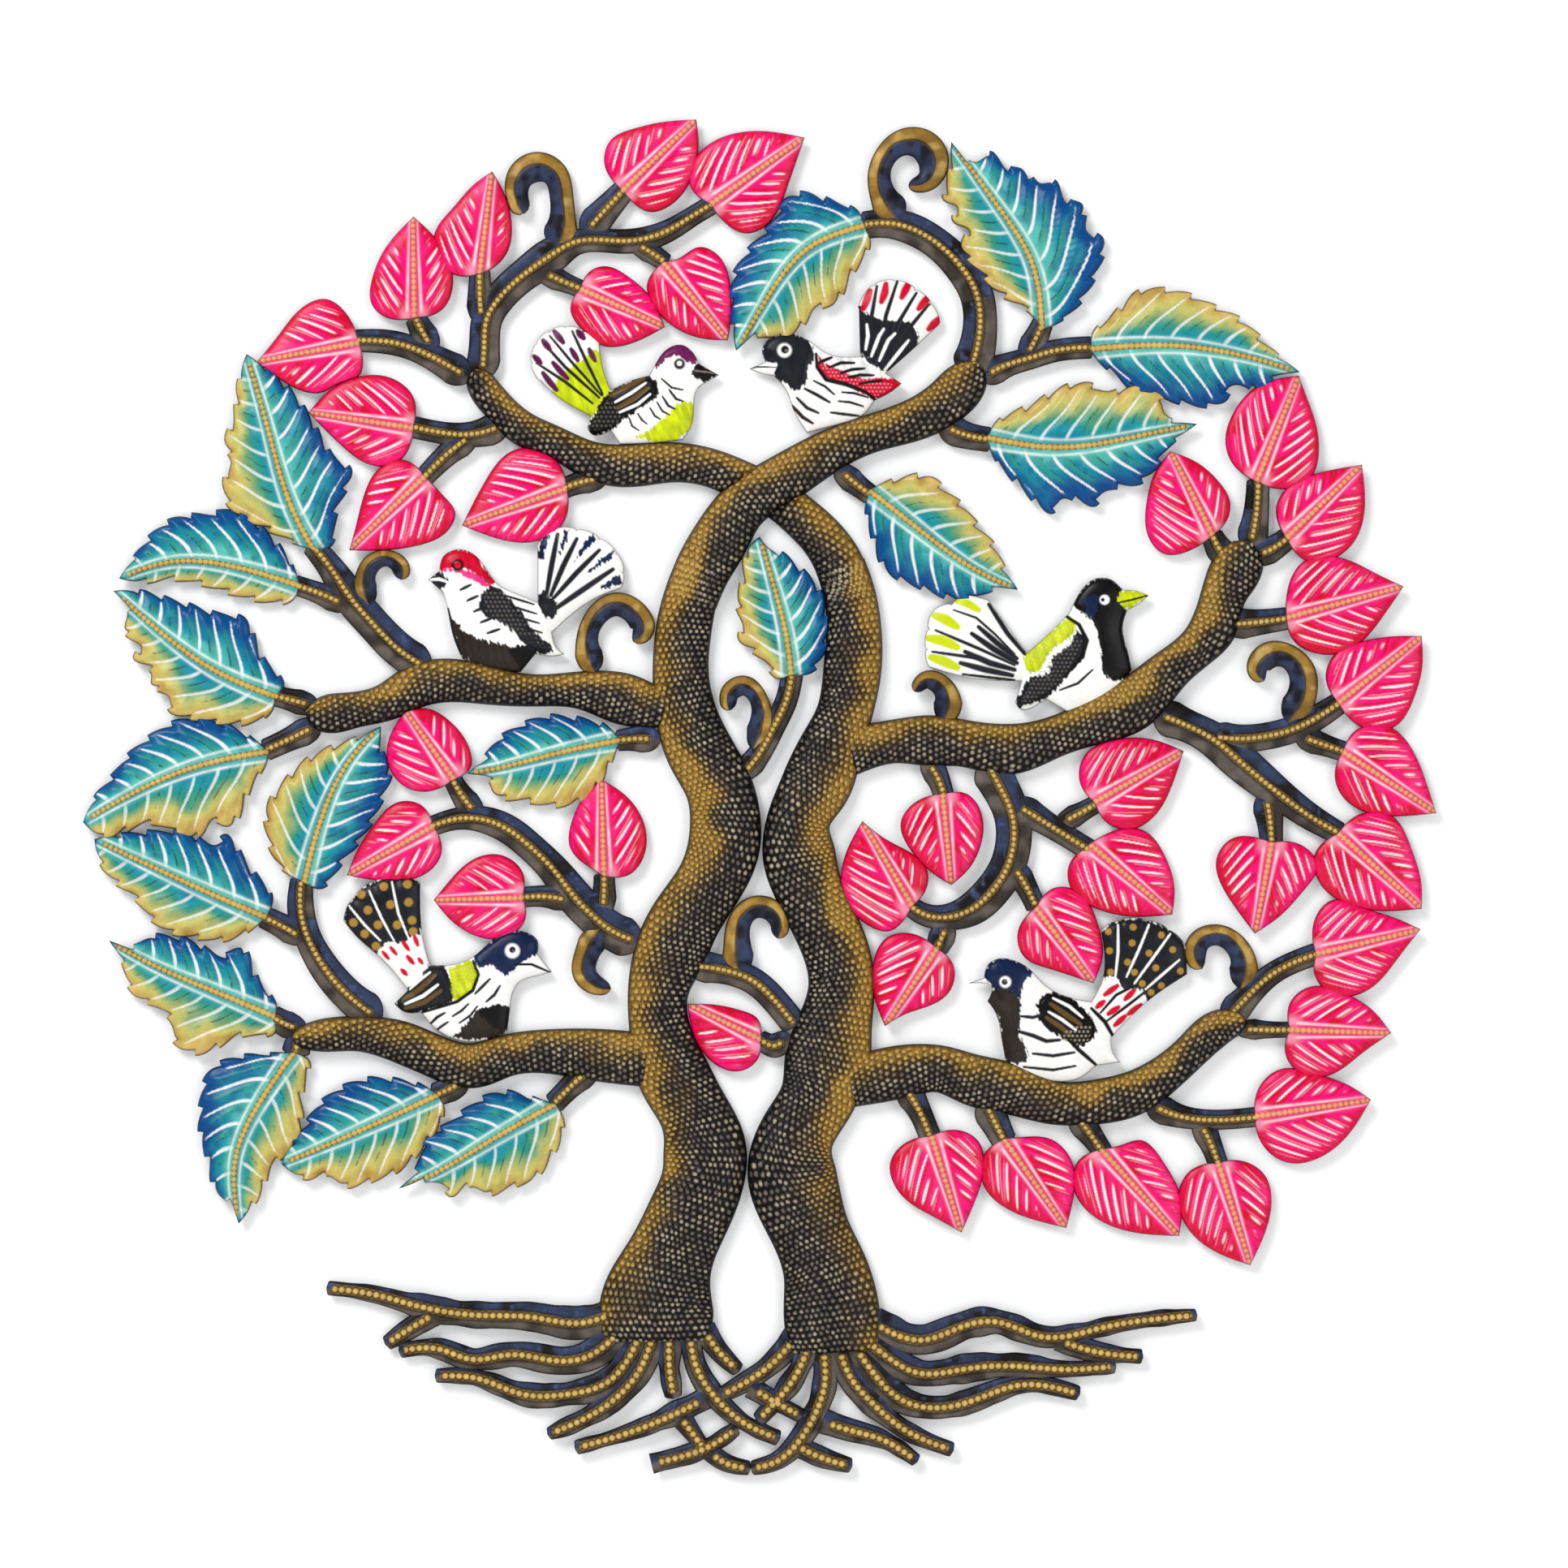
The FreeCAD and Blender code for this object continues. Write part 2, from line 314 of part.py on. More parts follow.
# Toothed leaves: the midrib from base to tip, then each side's teeth from base to tip.
TEAL_LEAVES = {
    "teal_leaf_left_upper": ([(-197, 103), (-206, 120), (-217, 155), (-222, 173), (-227.5, 191)],
        [(-204, 106), (-220, 114), (-234, 122), (-236, 139), (-234, 143), (-237, 151), (-234, 160),
         (-232, 174)],
        [(-190, 106), (-188, 120), (-182.5, 141), (-187, 144), (-195, 155), (-202, 167), (-213, 180)]),
    "teal_leaf_left_far": ([(-203, 88), (-230, 96), (-262, 98.5), (-284, 91.5)],
        [(-207, 97), (-213, 106), (-227, 119), (-233, 122), (-243, 120.5), (-257, 119), (-267, 113.5),
         (-276, 103)],
        [(-207, 82), (-218, 81), (-230, 83.5), (-246, 88.5), (-262, 91), (-273, 90)]),
    "teal_leaf_left_mid": ([(-214, 39), (-240, 50), (-268, 70), (-286.5, 86)],
        [(-211, 43), (-220, 56), (-229, 74), (-240, 76), (-250, 79), (-262, 82.5), (-275, 86)],
        [(-216, 33), (-237, 27), (-250, 29), (-262, 35), (-262, 39), (-270, 45), (-269, 49), (-277, 57),
         (-275, 60), (-282, 69), (-280, 74)]),
    "teal_leaf_left_low": ([(-217, 15), (-250, 8), (-280, -5), (-300, -16.5)],
        [(-227, 22), (-236, 26.5), (-256, 29), (-271, 21), (-281, 12), (-287, 4), (-293, -3)],
        [(-218, 11), (-226, -2), (-237, -18), (-241, -16), (-248, -22), (-270, -17), (-291, -23)]),
    "teal_leaf_left_outer": ([(-218, -59), (-250, -45), (-280, -31), (-295, -24)],
        [(-216, -52), (-228, -34), (-238, -23), (-241, -26), (-252, -22), (-265, -20.5), (-275, -21)],
        [(-225, -64), (-240, -69), (-245, -68.5), (-262, -65), (-271, -58), (-278, -49), (-286, -43),
         (-292, -35)]),
    "teal_leaf_left_lower": ([(-214, -103), (-240, -92), (-270, -79), (-288.5, -69)],
        [(-214, -98), (-222, -87), (-231, -72), (-236, -75), (-250, -70), (-262, -67), (-271, -67.5),
         (-276, -71)],
        [(-215, -110), (-228, -111), (-250, -119), (-260, -112), (-260, -108), (-268, -98), (-276, -94),
         (-281, -85), (-282, -80)]),
    "teal_leaf_left_base": ([(-206, -118), (-221, -140), (-232, -165), (-231, -194.5)],
        [(-222, -119.5), (-233, -121), (-243, -126), (-248, -142), (-248, -155), (-244, -169), (-240, -181),
         (-236, -184)],
        [(-200, -122), (-202, -133), (-203, -150), (-206, -160), (-217, -170), (-220, -178), (-226, -188)]),
    "teal_leaf_low_left": ([(-142, -137), (-170, -150), (-200, -163), (-212, -168)],
        [(-150, -133), (-162, -130.5), (-172, -130), (-190, -137), (-198, -145), (-201, -150), (-209, -161)],
        [(-140, -142), (-147, -158), (-160, -171), (-175, -176.5), (-186, -177), (-190, -173),
         (-198, -174.5)]),
    "teal_leaf_low_centre": ([(-90, -141), (-120, -158), (-150, -175), (-160, -179)],
        [(-103, -138), (-113, -136), (-125, -140), (-133, -146), (-141, -152), (-148, -157), (-152, -170)],
        [(-87, -148), (-93, -166), (-100, -174.5), (-112, -179), (-122, -181), (-127, -177.5), (-137, -182),
         (-140, -178.5)]),
    "teal_leaf_centre_left": ([(-202, -44), (-193, -12), (-180, 13), (-168, 26)],
        [(-211, -38), (-219, -18), (-219, -12), (-212, 0), (-203, 9.5), (-192, 16), (-181, 20)],
        [(-195, -46), (-187, -37), (-180, -28), (-173, -18), (-166, -3), (-164, 7), (-167, 14)]),
    "teal_leaf_under_limb": ([(-61, 20), (-90, 14), (-118, 7), (-130, 5)],
        [(-68, 26), (-80, 29.5), (-97, 30), (-106, 26.5), (-118, 18), (-123, 10.5)],
        [(-65, 12), (-73, -2), (-85, -9), (-98, -8.5), (-105, -7), (-118, -3), (-119, 1)]),
    "teal_leaf_centre": ([(14, 48), (12, 65), (8, 82), (0, 110)],
        [(8, 47), (2, 55), (-9, 66), (-8, 70), (-10, 80), (-8, 90), (-5, 105)],
        [(21, 49), (29.5, 62), (30, 75), (25, 89), (17, 97), (9, 103), (4, 105)]),
    "teal_leaf_right_inner": ([(48, 131), (72, 112), (98, 94), (114.5, 86.5)],
        [(55, 134), (62, 136), (77, 136), (82, 131), (90, 124), (97.5, 114), (104, 106), (108, 97)],
        [(47, 122), (50, 110), (56, 95.5), (70, 88), (82, 83.5), (95, 83), (105, 87)]),
    "teal_leaf_top": ([(47, 248), (22, 238), (0, 210), (-10.5, 192.5)],
        [(43, 255), (35, 258), (19, 262.5), (13, 261), (7, 252), (-1, 242), (-8, 233), (-12, 224),
         (-13, 215)],
        [(49, 242), (40, 225), (32, 213), (25, 211), (20, 205), (8, 198), (-1, 199)]),
    "teal_leaf_top_right": ([(125, 201), (121, 230), (105, 257), (85, 285)],
        [(118, 211), (106, 218), (97, 228), (90, 241), (92, 245), (86, 251), (87, 256), (82, 260), (82, 263),
         (84, 272)],
        [(131, 204), (150.5, 230), (151, 243), (145, 246), (143, 257.5), (137, 259), (129, 268), (125, 266.5),
         (116, 273), (111, 273.5), (101, 280), (97.5, 276.5)]),
    "teal_leaf_right_upper": ([(146, 193), (185, 194.5), (222, 188), (239.5, 183)],
        [(148, 201), (155, 207), (170, 219.5), (177, 220), (190, 217.5), (201, 212.5), (213, 206.5),
         (226, 194)],
        [(150, 188), (159, 181), (165, 176), (180, 171), (196, 168), (207, 171.5), (209, 176), (216, 177),
         (220, 175), (228, 180)]),
    "teal_leaf_right_lower": ([(100, 154), (130, 149.5), (170, 155), (194, 160)],
        [(105, 161), (118, 167.5), (135, 176.5), (147, 177.5), (155, 174), (162, 176), (179, 169.5),
         (179, 166)],
        [(104, 145), (117, 131), (131, 122), (134, 127), (149, 124.5), (152, 129), (166, 133), (176, 141),
         (180, 148), (187, 155)]),
}

# Birds: strokes round the outline from the beak tip. A stroke of two points is straight, a longer one is
# a smooth curve, and a stroke in SCALLOPED style has a round feather tip between each pair of points.
BIRDS = {
    "bird_top_left": [
        [(-18, 181.7), (-27, 186.8)],
        [(-27, 186.8), (-29, 191), (-35, 195.2), (-42, 192.5), (-46, 187), (-49, 181.5)],
        [(-49, 181.5), (-58, 179), (-66, 175)],
        [(-66, 175), (-69, 183), (-71, 195)],
        ["scalloped", (-71, 195), (-78, 201), (-86, 203), (-93, 201), (-99, 195.5), (-101, 187), (-97, 179)],
        [(-97, 179), (-92, 174), (-75, 163.5)],
        [(-75, 163.5), (-76.5, 158)],
        [(-76.5, 158), (-74.5, 155.5), (-66, 157)],
        [(-66, 157), (-62, 151)],
        [(-62, 151), (-48, 151.5), (-34, 153)],
        [(-34, 153), (-30, 160), (-29, 170), (-27, 176), (-24.5, 178)],
        [(-24.5, 178), (-18, 181.7)],
    ],
    "bird_top_right": [
        [(-4.5, 184.5), (2.5, 187.5)],
        [(2.5, 187.5), (1, 193), (5, 198.5), (14, 200), (22, 197), (30, 191.5), (44.5, 190)],
        [(44.5, 190), (44, 211)],
        ["scalloped", (44, 211), (51, 221.5), (60, 223.5), (69, 219.5), (76, 213), (79.5, 204)],
        [(79.5, 204), (70, 195), (56, 182.5)],
        [(56, 182.5), (63, 178)],
        [(63, 178), (58, 174), (51, 170.5)],
        [(51, 170.5), (46, 164), (36, 160), (21, 156)],
        [(21, 156), (15, 166), (11, 176), (6, 181.5)],
        [(6, 181.5), (0, 182.5), (-4.5, 184.5)],
    ],
    "bird_mid_left": [
        [(-147, 91), (-142, 95)],
        [(-142, 95), (-140.5, 101), (-134, 104.5), (-127, 102.5), (-121, 95.5), (-116.5, 89.5), (-108, 85),
         (-98.5, 81)],
        [(-98.5, 81), (-98.5, 105)],
        ["scalloped", (-98.5, 105), (-91, 113), (-81, 113), (-71, 109), (-63.5, 102.5), (-60.5, 94),
         (-62, 87)],
        [(-62, 87), (-72, 83), (-92, 67.5)],
        [(-92, 67.5), (-90, 61), (-86.5, 58)],
        [(-86.5, 58), (-91, 57), (-99.5, 58)],
        [(-99.5, 58), (-106, 50)],
        [(-106, 50), (-118, 51), (-132, 56)],
        [(-132, 56), (-136, 66), (-138.5, 78), (-140.5, 85.5)],
        [(-140.5, 85.5), (-147, 91)],
    ],
    "bird_mid_right": [
        [(172.5, 84), (166, 86.3), (161, 86.5)],
        [(161, 86.5), (156, 91), (149, 91.5), (143, 87), (139, 80), (137, 76)],
        [(137, 76), (128, 67), (118.5, 58.5)],
        [(118.5, 58.5), (101.5, 82)],
        [(101.5, 82), (88, 83), (85, 80)],
        ["scalloped", (85, 80), (77, 77), (75, 69), (74, 60), (75.5, 52)],
        [(75.5, 52), (92, 47.5), (116, 46)],
        [(116, 46), (113.3, 36.5)],
        [(113.3, 36.5), (115, 34), (127, 38)],
        [(127, 38), (137, 32)],
        [(137, 32), (148, 35), (158, 42), (165, 51)],
        [(165, 51), (163, 60), (161, 70), (163, 77.5)],
        [(163, 77.5), (168, 80), (172.5, 84)],
    ],
    "bird_low_left": [
        [(-92, -83), (-98.5, -75)],
        [(-98.5, -75), (-98.5, -69), (-104.5, -65), (-113, -65.5), (-120, -70), (-127, -76), (-136, -79.5),
         (-146, -80)],
        [(-146, -80), (-149.5, -66), (-150.5, -44)],
        ["scalloped", (-150.5, -44), (-161, -42), (-171.5, -43.5), (-179.5, -50), (-184, -61)],
        [(-184, -61), (-178, -68), (-170, -75), (-156, -91)],
        [(-156, -91), (-162, -97)],
        [(-162, -97), (-158, -100.5), (-150, -101)],
        [(-150, -101), (-144, -108), (-138, -112)],
        [(-138, -112), (-130, -114), (-112, -110)],
        [(-112, -110), (-110.5, -98), (-107, -88), (-100, -85)],
        [(-100, -85), (-92, -83)],
    ],
    "bird_low_right": [
        [(92.5, -88), (99.5, -85.5)],
        [(99.5, -85.5), (101, -80), (106, -77), (112, -77.5), (119, -81), (126, -88), (134, -93), (147, -96)],
        [(147, -96), (152, -86), (151.5, -65)],
        ["scalloped", (151.5, -65), (160, -60.5), (171.5, -60.5), (181, -64.5), (189, -73)],
        [(189, -73), (189.5, -84)],
        [(189.5, -84), (172, -96), (156, -112)],
        [(156, -112), (156.5, -118), (160, -123)],
        [(160, -123), (149, -124.5)],
        [(149, -124.5), (142, -130), (130, -131.5), (119, -129), (109, -122)],
        [(109, -122), (107, -111), (104, -100), (101, -96)],
        [(101, -96), (103, -90), (92.5, -88)],
    ],
}


# --- Geometry helpers ----------------------------------------------------------------------------

def at(x, z, y=0.0):
    """A layout point, measured from the hang point."""
    return FreeCAD.Vector(x - HANG_X, y, z - HANG_Z)


def smooth_edge(points):
    """One edge through (x, z) points: straight for two points, a spline for more."""
    vectors = [at(x, z) for x, z in points]
    if len(vectors) == 2:
        return Part.LineSegment(*vectors).toShape()
    curve = Part.BSplineCurve()
    curve.interpolate(vectors)
    return curve.toShape()


def toothed_edges(points, middle):
    """Edges between teeth, each bulging a little away from the middle point."""
    edges = []
    for (x0, z0), (x1, z1) in zip(points, points[1:]):
        chord = math.hypot(x1 - x0, z1 - z0)
        normal_x, normal_z = (z0 - z1) / chord, (x1 - x0) / chord
        mid_x, mid_z = (x0 + x1) / 2, (z0 + z1) / 2
        if normal_x * (mid_x - middle[0]) + normal_z * (mid_z - middle[1]) < 0:
            normal_x, normal_z = -normal_x, -normal_z
        rise = TOOTH_BULGE * chord
        top = at(mid_x + normal_x * rise, mid_z + normal_z * rise)
        edges.append(Part.Arc(at(x0, z0), top, at(x1, z1)).toShape())
    return edges


def prism(edges, front=-CUT_DEPTH, back=1.0):
    """The solid block inside a closed outline, from the back plane to the front plane."""
    wire = Part.Wire(Part.__sortEdges__(edges))
    face = Part.Face(wire)
    face.translate(FreeCAD.Vector(0, back, 0))
    return face.extrude(FreeCAD.Vector(0, front - back, 0))


def curved_sheet(middle, angle, reach, half_width, crown):
    """A sheet of steel bent about an axis that lies along angle, raised by crown over half_width."""
    radius = (half_width ** 2 + crown ** 2) / (2 * crown)
    axis = FreeCAD.Vector(math.cos(angle), 0, math.sin(angle))
    start = at(middle[0], middle[1], radius - crown) - axis * reach
    outer = Part.makeCylinder(radius, 2 * reach, start, axis)
    inner = Part.makeCylinder(radius - SHEET, 2 * reach, start, axis)
    return outer.cut(inner)


def blade(edges, base, tip, crown):
    """A leaf or bird: the part of a curved sheet that lies inside the outline."""
    block = prism(edges)
    box = block.BoundBox
    angle = math.atan2(tip[1] - base[1], tip[0] - base[0])
    middle = ((base[0] + tip[0]) / 2, (base[1] + tip[1]) / 2)
    reach = box.DiagonalLength
    across = FreeCAD.Vector(-math.sin(angle), 0, math.cos(angle))
    centre = at(*middle)
    rim = [point for edge in edges for point in edge.discretize(RIM_POINTS)]
    half_width = max(abs((point - centre).dot(across)) for point in rim) + 2 * SHEET
    sheet = curved_sheet(middle, angle, reach, half_width, crown)
    front_half = prism([Part.LineSegment(a, b).toShape() for a, b in square(centre, reach)], back=0.0)
    return block.common(sheet).common(front_half), block


def square(centre, reach):
    """The four sides of a square about a centre, as pairs of corners."""
    corners = [centre + FreeCAD.Vector(dx * reach, 0, dz * reach)
               for dx, dz in ((-1, -1), (1, -1), (1, 1), (-1, 1))]
    return list(zip(corners, corners[1:] + corners[:1]))


def stations(line, spacing):
    """Points, directions and half-widths along a centreline of x, z and half-width."""
    vectors = [at(x, z) for x, z, _ in line]
    curve = Part.BSplineCurve()
    curve.interpolate(vectors)
    knots = [curve.parameter(vector) for vector in vectors]
    result = []
    for index in range(len(line) - 1):
        steps = max(1, round((vectors[index + 1] - vectors[index]).Length / spacing))
        for step in range(steps + (index == len(line) - 2)):
            share = step / steps
            parameter = knots[index] + (knots[index + 1] - knots[index]) * share
            half = line[index][2] * (1 - share) + line[index + 1][2] * share
            result.append((curve.value(parameter), curve.tangent(parameter)[0], half))
    return result


def arch_section(centre, direction, half, crown):
    """The steel's cross-section: an arch that stands on the wall on its two cut edges."""
    side = FreeCAD.Vector(-direction.z, 0, direction.x)
    left, right = centre - side * half, centre + side * half
    inner_left, inner_right = left + side * SHEET, right - side * SHEET
    top = centre + FreeCAD.Vector(0, -crown - SHEET, 0)
    under = centre + FreeCAD.Vector(0, -crown, 0)
    return Part.Wire([
        Part.Arc(left, top, right).toShape(),
        Part.LineSegment(right, inner_right).toShape(),
        Part.Arc(inner_right, under, inner_left).toShape(),
        Part.LineSegment(inner_left, left).toShape(),
    ])


def strip(line, crown, spacing=8.0):
    """A hammered strip along a centreline, with the block of its plan shape for trimming others."""
    rows = stations(line, spacing)
    sections = [arch_section(centre, direction, half, crown) for centre, direction, half in rows]
    shell = Part.makeLoft(sections, True, False)
    lefts = [centre - FreeCAD.Vector(-way.z, 0, way.x) * half for centre, way, half in rows]
    rights = [centre + FreeCAD.Vector(-way.z, 0, way.x) * half for centre, way, half in rows]
    edges = []
    for side in (lefts, rights):
        curve = Part.BSplineCurve()
        curve.interpolate(side)
        edges.append(curve.toShape())
    edges.append(Part.LineSegment(lefts[0], rights[0]).toShape())
    edges.append(Part.LineSegment(lefts[-1], rights[-1]).toShape())
    return shell, prism(edges)


def between_edges(rows):
    """A centreline from rows of z, left edge and right edge, with the half-width square to it."""
    line = []
    for index, (z, left, right) in enumerate(rows):
        below, above = rows[max(index - 1, 0)], rows[min(index + 1, len(rows) - 1)]
        lean = ((above[1] + above[2]) - (below[1] + below[2])) / 2 / (above[0] - below[0])
        line.append(((left + right) / 2, z, (right - left) / 2 * math.cos(math.atan(lean))))
    return line


def tapered(width, points):
    """A root's centreline with its half-width shrinking from width, ever faster, to the tip."""
    last = len(points) - 1
    return [(x, z, width - (width - ROOT_TIP) * (index / last) ** 2) for index, (x, z) in enumerate(points)]


def heart_leaf(base, tip, one_side, other_side):
    """A pink leaf: two smooth lobes that meet at the stem and at the tip."""
    edges = [smooth_edge([base] + one_side + [tip]), smooth_edge([base] + other_side + [tip])]
    return blade(edges, base, tip, PINK_CROWN)


def toothed_leaf(midrib, one_side, other_side):
    """A teal leaf: a saw-toothed edge on both sides of its midrib."""
    base, tip = midrib[0], midrib[-1]
    middle = midrib[len(midrib) // 2]
    edges = toothed_edges([base] + one_side + [tip], middle)
    edges += toothed_edges([base] + other_side + [tip], middle)
    return blade(edges, base, tip, TEAL_CROWN)


def bird(strokes):
    """A bird in profile, with its closed wing and fanned tail in one outline."""
    points = [point for stroke in strokes for point in stroke if point != "scalloped"]
    middle = (sum(x for x, _ in points) / len(points), sum(z for _, z in points) / len(points))
    edges = []
    for stroke in strokes:
        if stroke[0] == "scalloped":
            edges += toothed_edges(stroke[1:], middle)
        else:
            edges.append(smooth_edge(stroke))
    beak = strokes[0][0]
    return blade(edges, beak, (2 * middle[0] - beak[0], 2 * middle[1] - beak[1]), BIRD_CROWN)


# --- Assembly, from the elements in front to those behind -----------------------------------------

placed = []                  # (plan block, its bounds) of every element so far


def trimmed(shell, block):
    """The shell without the plan of every element already placed; its own plan then joins the list."""
    bounds = block.BoundBox
    for other, other_bounds in placed:
        if bounds.intersect(other_bounds):
            shell = shell.cut(other)
    return [solid for solid in shell.Solids if solid.Volume > SMALLEST_SOLID]


def add_node(name, elements):
    """Trim each element of a node, then write the node's solids to one STEP file."""
    solids = []
    for shell, block in elements:
        solids += trimmed(shell, block)
        placed.append((block, block.BoundBox))
    shape = solids[0] if len(solids) == 1 else Part.makeCompound(solids)
    shape.exportStep(f"parts/{name}.step")
    print(name, len(solids), round(sum(solid.Volume for solid in solids)))


def build():
    os.makedirs("parts", exist_ok=True)
    add_node("trunk_left", [strip(between_edges(TRUNK_LEFT), TRUNK_CROWN, 12.0)])
    add_node("limb_top_right", [strip(LIMBS["limb_top_right"], LIMB_CROWN)])
    add_node("trunk_right", [strip(between_edges(TRUNK_RIGHT), TRUNK_CROWN, 12.0)])
    for name in ("limb_top_left", "limb_mid_left", "limb_mid_right", "limb_low_left", "limb_low_right"):
        add_node(name, [strip(LIMBS[name], LIMB_CROWN)])
    for name, leaves in PINK_LEAVES.items():
        add_node(name, [heart_leaf(*leaf) for leaf in leaves])
    for name, leaf in TEAL_LEAVES.items():
        add_node(name, [toothed_leaf(*leaf)])
    for name, strokes in BIRDS.items():
        add_node(name, [bird(strokes)])
    for name, lines in SCROLLS.items():
        add_node(name, [strip(line, SCROLL_CROWN, 6.0) for line in lines])
    for name, lines in TWIGS.items():
        add_node(name, [strip(line, TWIG_CROWN) for line in lines])
    for name, lines in ROOTS.items():
        add_node(name, [strip(tapered(*line), ROOT_CROWN) for line in lines])


build()
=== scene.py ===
import math

import bpy
import numpy as np
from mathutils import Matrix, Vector
from mathutils.geometry import delaunay_2d_cdt
from mathutils.kdtree import KDTree


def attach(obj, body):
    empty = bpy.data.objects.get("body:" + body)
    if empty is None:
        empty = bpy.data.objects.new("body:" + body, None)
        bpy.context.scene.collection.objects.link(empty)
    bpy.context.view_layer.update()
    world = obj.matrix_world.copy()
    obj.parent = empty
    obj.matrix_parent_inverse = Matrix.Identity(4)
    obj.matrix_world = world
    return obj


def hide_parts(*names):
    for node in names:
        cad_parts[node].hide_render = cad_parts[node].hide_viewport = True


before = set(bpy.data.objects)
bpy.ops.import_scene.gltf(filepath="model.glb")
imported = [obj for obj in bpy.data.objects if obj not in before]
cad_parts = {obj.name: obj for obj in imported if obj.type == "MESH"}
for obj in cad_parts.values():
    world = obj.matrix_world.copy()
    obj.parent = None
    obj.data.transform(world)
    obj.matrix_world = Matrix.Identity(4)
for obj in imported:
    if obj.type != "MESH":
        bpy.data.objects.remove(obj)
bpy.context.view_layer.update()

# A tree-of-life wall hanging cut from one sheet of drum steel, hammered up from behind and hand-painted.
# The layout tables are in millimetres as (x, z) about the middle of the tree, as in the part's own source;
# the finished meshes are in metres about the hang point. The painted face looks along -Y.

MM = 0.001
HANG_X, HANG_Z = -10.0, 97.0
SHEET = 1.2
FINE = 0.5          # spacing of the painted side's points, in millimetres
COARSE = 3.5                                # spacing of the points on the back

TRUNK_CROWN, LIMB_CROWN, TWIG_CROWN, SCROLL_CROWN, ROOT_CROWN = 7.2, 5.6, 1.3, 2.6, 1.3
PINK_CROWN, TEAL_CROWN, BIRD_CROWN = 3.0, 3.6, 3.2
LOBE_BULGE = 0.15                           # how far the lobes of a tail bulge, as a share of their chord
TOOTH_PITCH, TOOTH_DEPTH = 11.5, 2.6         # a teal leaf's saw teeth


# --- Outlines ------------------------------------------------------------------------------------

# Trunks as rows of z, left edge and right edge.
TRUNK_LEFT = [
    (-247, -70, -22), (-230, -71, -20), (-210, -61, -19), (-190, -51, -11), (-175, -44, -6.5),
    (-160, -43, -6), (-145, -46.5, -12), (-130, -55, -20), (-110, -58, -30), (-90, -58.5, -31),
    (-75, -57, -23), (-60, -51, -15), (-45, -40.5, -6), (-30, -33, 0), (-15, -31, 0.5),
    (0, -34.5, -2.5), (15, -43, -10), (30, -46.5, -18), (50, -47.5, -22.5), (70, -46, -21),
    (85, -42.5, -17.5), (97, -38, -12.5),
]
TRUNK_RIGHT = [
    (-252, 13, 53), (-235, 10.5, 53.5), (-215, 9.5, 48.5), (-200, 4.5, 42), (-185, -2.5, 37.5),
    (-170, -5.5, 33.5), (-155, -1.5, 34.5), (-140, 7, 43), (-120, 11, 50), (-105, 17, 50.5),
    (-90, 21.5, 51), (-75, 19, 49.5), (-60, 12, 44), (-45, 5, 37.5), (-30, 1, 33.5),
    (-15, 3, 32), (0, 8, 42), (15, 15.5, 46.5), (30, 24, 50), (50, 28, 54), (70, 29.5, 54),
    (85, 28, 51.5), (97, 24.5, 47.5),
]

# Limbs, twigs, scrolls and roots as centrelines of x, z and half-width.
LIMBS = {
    "limb_top_right": [
        (-25, 96, 12.5), (-18, 108, 12.7), (-8, 123, 11.5), (10, 135.5, 11), (30, 147.5, 9.6),
        (50, 156, 8.6), (70, 162.5, 9.6), (84, 171, 10.5), (93, 181, 9), (97, 187, 5),
    ],
    "limb_top_left": [
        (36, 96, 11), (29, 108, 10.2), (18, 119, 9.5), (6, 128, 9), (-8, 135, 8.8), (-20, 140, 8.6),
        (-40, 143, 9), (-60, 141.5, 9.5), (-75, 144, 8.5), (-92, 152.5, 7.2), (-105, 158, 7.8),
        (-115, 167, 7.2), (-123, 177, 6.8), (-126, 184, 5),
    ],
    "limb_mid_left": [
        (-42, 33, 8), (-60, 38, 11.5), (-80, 42, 8.4), (-100, 41.9, 7.2), (-120, 44.1, 8.6),
        (-140, 46.3, 9.8), (-155, 42.5, 9.5), (-165, 37, 8.5), (-180, 33.2, 8.1), (-192, 31.5, 8.5),
        (-201, 32, 5),
    ],
    "limb_mid_right": [
        (40, 15, 11), (60, 19.3, 9.8), (75, 19.6, 11.3), (90, 18.5, 10.5), (110, 15.8, 11.3),
        (130, 21, 9.3), (150, 28.5, 10.5), (165, 35.5, 12), (181, 50, 9.8), (193.5, 60.5, 9.2),
        (201.5, 70.5, 10.5), (205.5, 83.5, 10.1), (211, 95, 11.4), (218, 107, 8),
    ],
    "limb_low_left": [
        (-50, -122, 12), (-75, -119.5, 11.5), (-95, -118.2, 9.8), (-113, -120.3, 9.4),
        (-127, -124.5, 10), (-143, -120.8, 9.6), (-160, -113.8, 9.4), (-180, -110.3, 7.8),
        (-195, -111.2, 7.2), (-207, -112, 4),
    ],
    "limb_low_right": [
        (40, -132, 11), (65, -126.8, 11.7), (80, -126, 10.5), (95, -131, 11.5), (110, -134.5, 11.5),
        (130, -140.8, 9.8), (150, -140.5, 10), (165, -137, 10), (178, -129.5, 8.8),
        (192.5, -117, 8.1), (204, -107.5, 8), (215, -104.5, 5),
    ],
}

